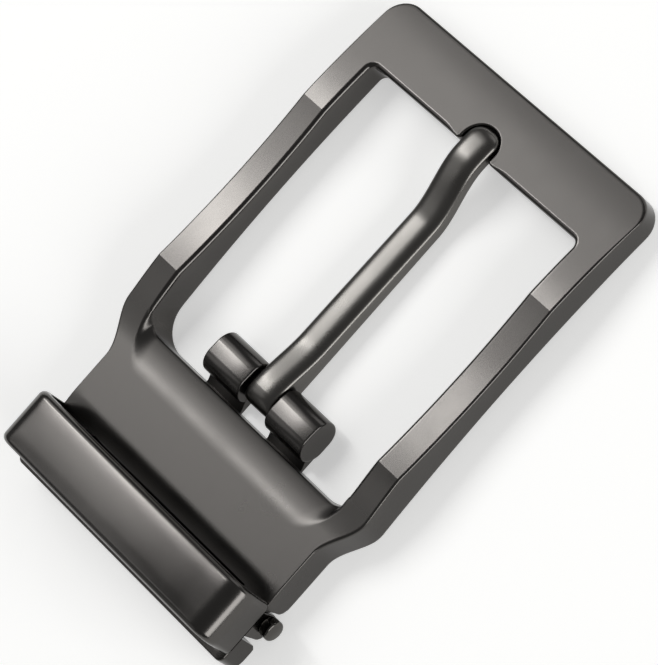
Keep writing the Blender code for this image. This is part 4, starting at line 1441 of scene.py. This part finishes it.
@dataclass
class ClampLever(Piece):
    """The clamp lever: eye on the cross pin, floor, side walls and rear lip."""

    pin_x: float = -27.7
    pin_z: float = 1.5
    rear_x: float = -34.12
    wide_x: float = -30.5
    half: float = 19.0
    wall: float = 1.95
    lip: float = 1.4
    rim_top: float = 3.75
    rim_foot: float = 0.05
    rim_edge: float = 0.3
    rim_middle: float = 1.4
    inner_foot: float = 0.1
    outer_foot: float = 0.15
    support: float = 0.1
    corner: float = 0.9
    heel: float = 1.8
    toe: float = 0.6
    eye_radius: float = 1.5
    eye_half: float = 14.3
    eye_edge: float = 0.12
    eye_heel_x: float = -2.0
    eye_floor_x: float = -3.6
    floor_back: float = 1.2
    floor_top: float = 3.0
    floor_inset: float = 0.6

    def rim_mesh(self) -> bpy.types.Mesh:
        """Draw the side walls and the rear lip, rounded in plan and under the heel.

        Returns:
            One closed skin from the left wall's end to the right one's.
        """
        rings = []
        corner_x, corner_y = self.rear_x + self.corner, self.half - self.corner
        outer = [Vector((x, self.half)) for x in spread(self.wide_x, corner_x, 8)]
        outer += arc_points((corner_x, corner_y), self.corner, 90.0, 180.0, 12)[1:]
        outer += [Vector((self.rear_x, y)) for y in spread(corner_y, 0.0, 10)[1:]]
        inner_y = self.half - self.wall
        inner_x = self.rear_x + self.lip
        for point in outer:
            inner = Vector((max(point.x, inner_x), min(point.y, inner_y)))
            rings.append(self.rim_section(point, inner))
        mirrored = [[Vector((p.x, -p.y, p.z)) for p in ring] for ring in rings[-2::-1]]
        return loft_mesh("lever_rim", rings + mirrored, closed=False)

    def low(self, x: float) -> float:
        """Height of the rim's underside, rounded up at the heel and a little at the toe.

        Args:
            x: Place along the buckle.

        Returns:
            The height in millimetres.
        """
        reach = self.rear_x + self.heel - x
        if reach > 0.0:
            reach = min(reach, self.heel)
            return self.rim_foot + self.heel - math.sqrt(self.heel**2 - reach**2)
        ahead = min(max(x - (self.wide_x - self.toe), 0.0), self.toe)
        return self.rim_foot + self.toe - math.sqrt(self.toe**2 - ahead**2)

    def rim_section(self, outer: Vector, inner: Vector) -> list[Vector]:
        """One upright section of the rim.

        Args:
            outer: Outer point in plan.
            inner: Inner point in plan.

        Returns:
            Closed section with rounded upper edges.
        """
        edge = self.rim_edge
        aim = (inner - outer).normalized()
        points = []

        def add(place: Vector, z: float) -> None:
            """Add a point at a place in plan."""
            points.append(Vector((place.x, place.y, z)))

        for turn in spread(0.0, 90.0, 5):
            a = math.radians(turn)
            add(outer + aim * edge * (1.0 - math.cos(a)),
                self.rim_top - edge + edge * math.sin(a))
        for turn in spread(90.0, 0.0, 5):
            a = math.radians(turn)
            add(inner - aim * edge * (1.0 - math.cos(a)),
                self.rim_top - edge + edge * math.sin(a))
        add(inner, self.rim_middle)
        low = self.low(inner.x)
        add(inner, low + self.inner_foot)
        add(inner - aim * self.inner_foot, low)
        low = self.low(outer.x)
        add(outer + aim * self.outer_foot, low)
        add(outer, low + self.outer_foot)
        add(outer, low + 2.0 * self.outer_foot)
        add(outer, self.rim_top - edge - self.support)
        return points

    def middle_mesh(self) -> bpy.types.Mesh:
        """Draw the eye on the cross pin and the floor behind it, between the side walls.

        Returns:
            The eye and its floor.
        """
        rear_x = self.rear_x + self.floor_inset
        outline = arc_points((self.pin_x, self.pin_z), self.eye_radius, 90.0, -90.0, 24)
        outline += [Vector(p) for p in (
            (self.pin_x + self.eye_heel_x, 0.0),
            (self.pin_x + self.eye_floor_x, self.floor_back),
            (rear_x, self.floor_back), (rear_x, self.floor_top))]
        return plate_mesh(
            "lever_middle", outline, -self.eye_half, self.eye_half, self.eye_edge,
            Draw.ACROSS, 2)

    def floor_mesh(self) -> bpy.types.Mesh:
        """Draw the floor's full width, which ties the side walls to the eye.

        Returns:
            The floor.
        """
        rear_x = self.rear_x + self.floor_inset
        side = self.half - self.floor_inset
        corners = ((rear_x, -side), (self.wide_x, -side), (self.wide_x, side), (rear_x, side))
        return plate_mesh(
            "lever_floor", [Vector(p) for p in corners], self.floor_back, self.floor_top, 0.0)

    def meshes(self, metal: bpy.types.Material) -> list[bpy.types.Mesh]:
        """Rim, eye and floor, which take their metal later."""
        return [self.rim_mesh(), self.middle_mesh(), self.floor_mesh()]


@dataclass
class CarriedNode:
    """A piece whose CAD solid stays and gets a finish."""

    node: str
    metal: PlatedMetal

    def dress(self) -> bpy.types.Object:
        """Put the finish into the solid's material slots.

        Returns:
            The dressed object.
        """
        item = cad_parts[self.node]
        item.data.materials.clear()
        item.data.materials.append(self.metal.build())
        LOG.info("dressed %s", self.node)
        return item


@dataclass(frozen=True)
class SoftBox:
    """One soft box: where it hangs, how large its face is and how bright the face looks.

    The direction is from the buckle's middle; width, height and distance are in millimetres.
    """

    name: str
    towards: tuple[float, float, float]
    width: float
    height: float
    radiance: float
    distance: float = 1000.0


SOFT_BOXES = (
    SoftBox("strip_behind", (0.075, 0.645, 0.763), 95.0, 505.0, 9.6),
    SoftBox("wide_behind", (0.14, 0.655, 0.745), 470.0, 470.0, 2.4),
    SoftBox("clamp_side_fade", (-0.135, 0.655, 0.745), 95.0, 470.0, 1.0),
    SoftBox("bar_side_fade", (0.46, 0.58, 0.67), 190.0, 470.0, 1.1),
    SoftBox("neck_side_fade", (-0.41, 0.6, 0.69), 330.0, 470.0, 0.75),
    SoftBox("low_front_wall", (0.1, -0.93, 0.33), 900.0, 400.0, 5.0),
    SoftBox("low_clamp_wall", (-0.85, 0.3, 0.4), 500.0, 300.0, 0.3),
    SoftBox("low_bar_wall", (0.92, 0.15, 0.3), 700.0, 300.0, 0.9),
)


@dataclass
class Studio:
    """Pale floor, soft boxes and the camera of the photograph.

    Floor and reach are in millimetres, the camera's place is in metres.
    """

    boxes: tuple[SoftBox, ...] = SOFT_BOXES
    floor_colour: str = "#f4f4f2"
    floor_size: float = 4000.0
    floor_drop: float = 0.02
    floor_glow: float = 0.42
    room_light: float = 0.17
    focal_pixels: float = 4500.0
    image_width: float = 658.0
    sensor: float = 36.0
    nearest: float = 10.0
    farthest: float = 20000.0
    camera_place: tuple[float, float, float] = (0.019394, -0.269039, 0.421690)
    camera_right: tuple[float, float, float] = (0.661038, -0.617873, -0.425749)
    camera_up: tuple[float, float, float] = (0.749375, 0.572571, 0.332565)
    camera_back: tuple[float, float, float] = (0.038289, -0.538884, 0.841510)

    def build(self) -> None:
        """Set up the floor, the lights, the surrounding light and the camera."""
        self.floor()
        self.lights()
        self.surround()
        self.camera()

    def floor(self) -> None:
        """Lay the plain pale floor that the buckle rests on."""
        half = self.floor_size * 0.5 * MM
        mesh = bpy.data.meshes.new("studio_floor")
        signs = ((-1, -1), (1, -1), (1, 1), (-1, 1))
        corners = [(half * x, half * y, 0.0) for x, y in signs]
        mesh.from_pydata(corners, [], [(0, 1, 2, 3)])
        item = bpy.data.objects.new("studio_floor", mesh)
        item.location.z = -self.floor_drop * MM
        bpy.context.collection.objects.link(item)
        # Uncoated paper: no shine at all, and bright enough to fade into the white behind it.
        material = bpy.data.materials.new("pale_matte_paper")
        material.use_nodes = True
        shader = material.node_tree.nodes["Principled BSDF"]
        shader.inputs["Base Color"].default_value = linear(self.floor_colour)
        shader.inputs["Roughness"].default_value = 1.0
        shader.inputs["Specular IOR Level"].default_value = 0.0
        shader.inputs["Emission Color"].default_value = (1.0, 1.0, 1.0, 1.0)
        shader.inputs["Emission Strength"].default_value = self.floor_glow
        mesh.materials.append(material)

    def lights(self) -> None:
        """Hang the soft boxes, each turned to the buckle."""
        for box in self.boxes:
            data = bpy.data.lights.new(box.name, "AREA")
            data.shape = "RECTANGLE"
            data.size, data.size_y = box.width * MM, box.height * MM
            data.energy = box.radiance * math.pi * data.size * data.size_y
            item = bpy.data.objects.new(box.name, data)
            towards = Vector(box.towards).normalized()
            item.location = towards * box.distance * MM
            item.rotation_euler = towards.to_track_quat("Z", "Y").to_euler()
            bpy.context.collection.objects.link(item)

    def surround(self) -> None:
        """Set the even light of the room."""
        world = bpy.data.worlds.new("studio_room")
        world.use_nodes = True
        background = world.node_tree.nodes["Background"]
        background.inputs["Color"].default_value = (1.0, 1.0, 1.0, 1.0)
        background.inputs["Strength"].default_value = self.room_light
        bpy.context.scene.world = world
        # Greys come out as they are set, with no film curve over them.
        bpy.context.scene.view_settings.view_transform = "Standard"

    def camera(self) -> None:
        """Place the camera where the photograph was taken from."""
        data = bpy.data.cameras.new("photo_camera")
        data.sensor_width = self.sensor
        data.sensor_fit = "HORIZONTAL"
        data.lens = self.focal_pixels * self.sensor / self.image_width
        data.clip_start, data.clip_end = self.nearest * MM, self.farthest * MM
        axes = (self.camera_right, self.camera_up, self.camera_back)
        turn = Matrix([Vector(axis) for axis in axes]).transposed().to_4x4()
        item = bpy.data.objects.new("photo_camera", data)
        item.matrix_world = Matrix.Translation(self.camera_place) @ turn
        bpy.context.collection.objects.link(item)
        bpy.context.scene.camera = item


def main() -> None:
    """Build the studio and the buckle's pieces in order."""
    logging.basicConfig(level=logging.INFO, format="%(name)s: %(message)s")
    Studio().build()
    CarriedNode("prong_pin", BARE_STEEL).dress()
    pieces = [
        FrameCasting(
            "frame_casting", "frame", Body.FRAME, "frame_plated_casting", FRAME_METAL),
        ProngCasting(
            "prong_casting", "prong", Body.PRONG, "prong_plated_casting", PRONG_METAL),
        ClampCover("clamp_cover", "cover", Body.FRAME, "cover_plated_sheet", COVER_METAL),
        ClampPin(
            "clamp_cross_pin", "clamp_pin", Body.FRAME, "clamp_pin_plated_steel", PIN_METAL),
        ClampLever("clamp_lever", "lever", Body.LEVER, "lever_plated_casting", LEVER_METAL),
    ]
    for piece in pieces:
        piece.build()


if __name__ == "__main__":
    main()
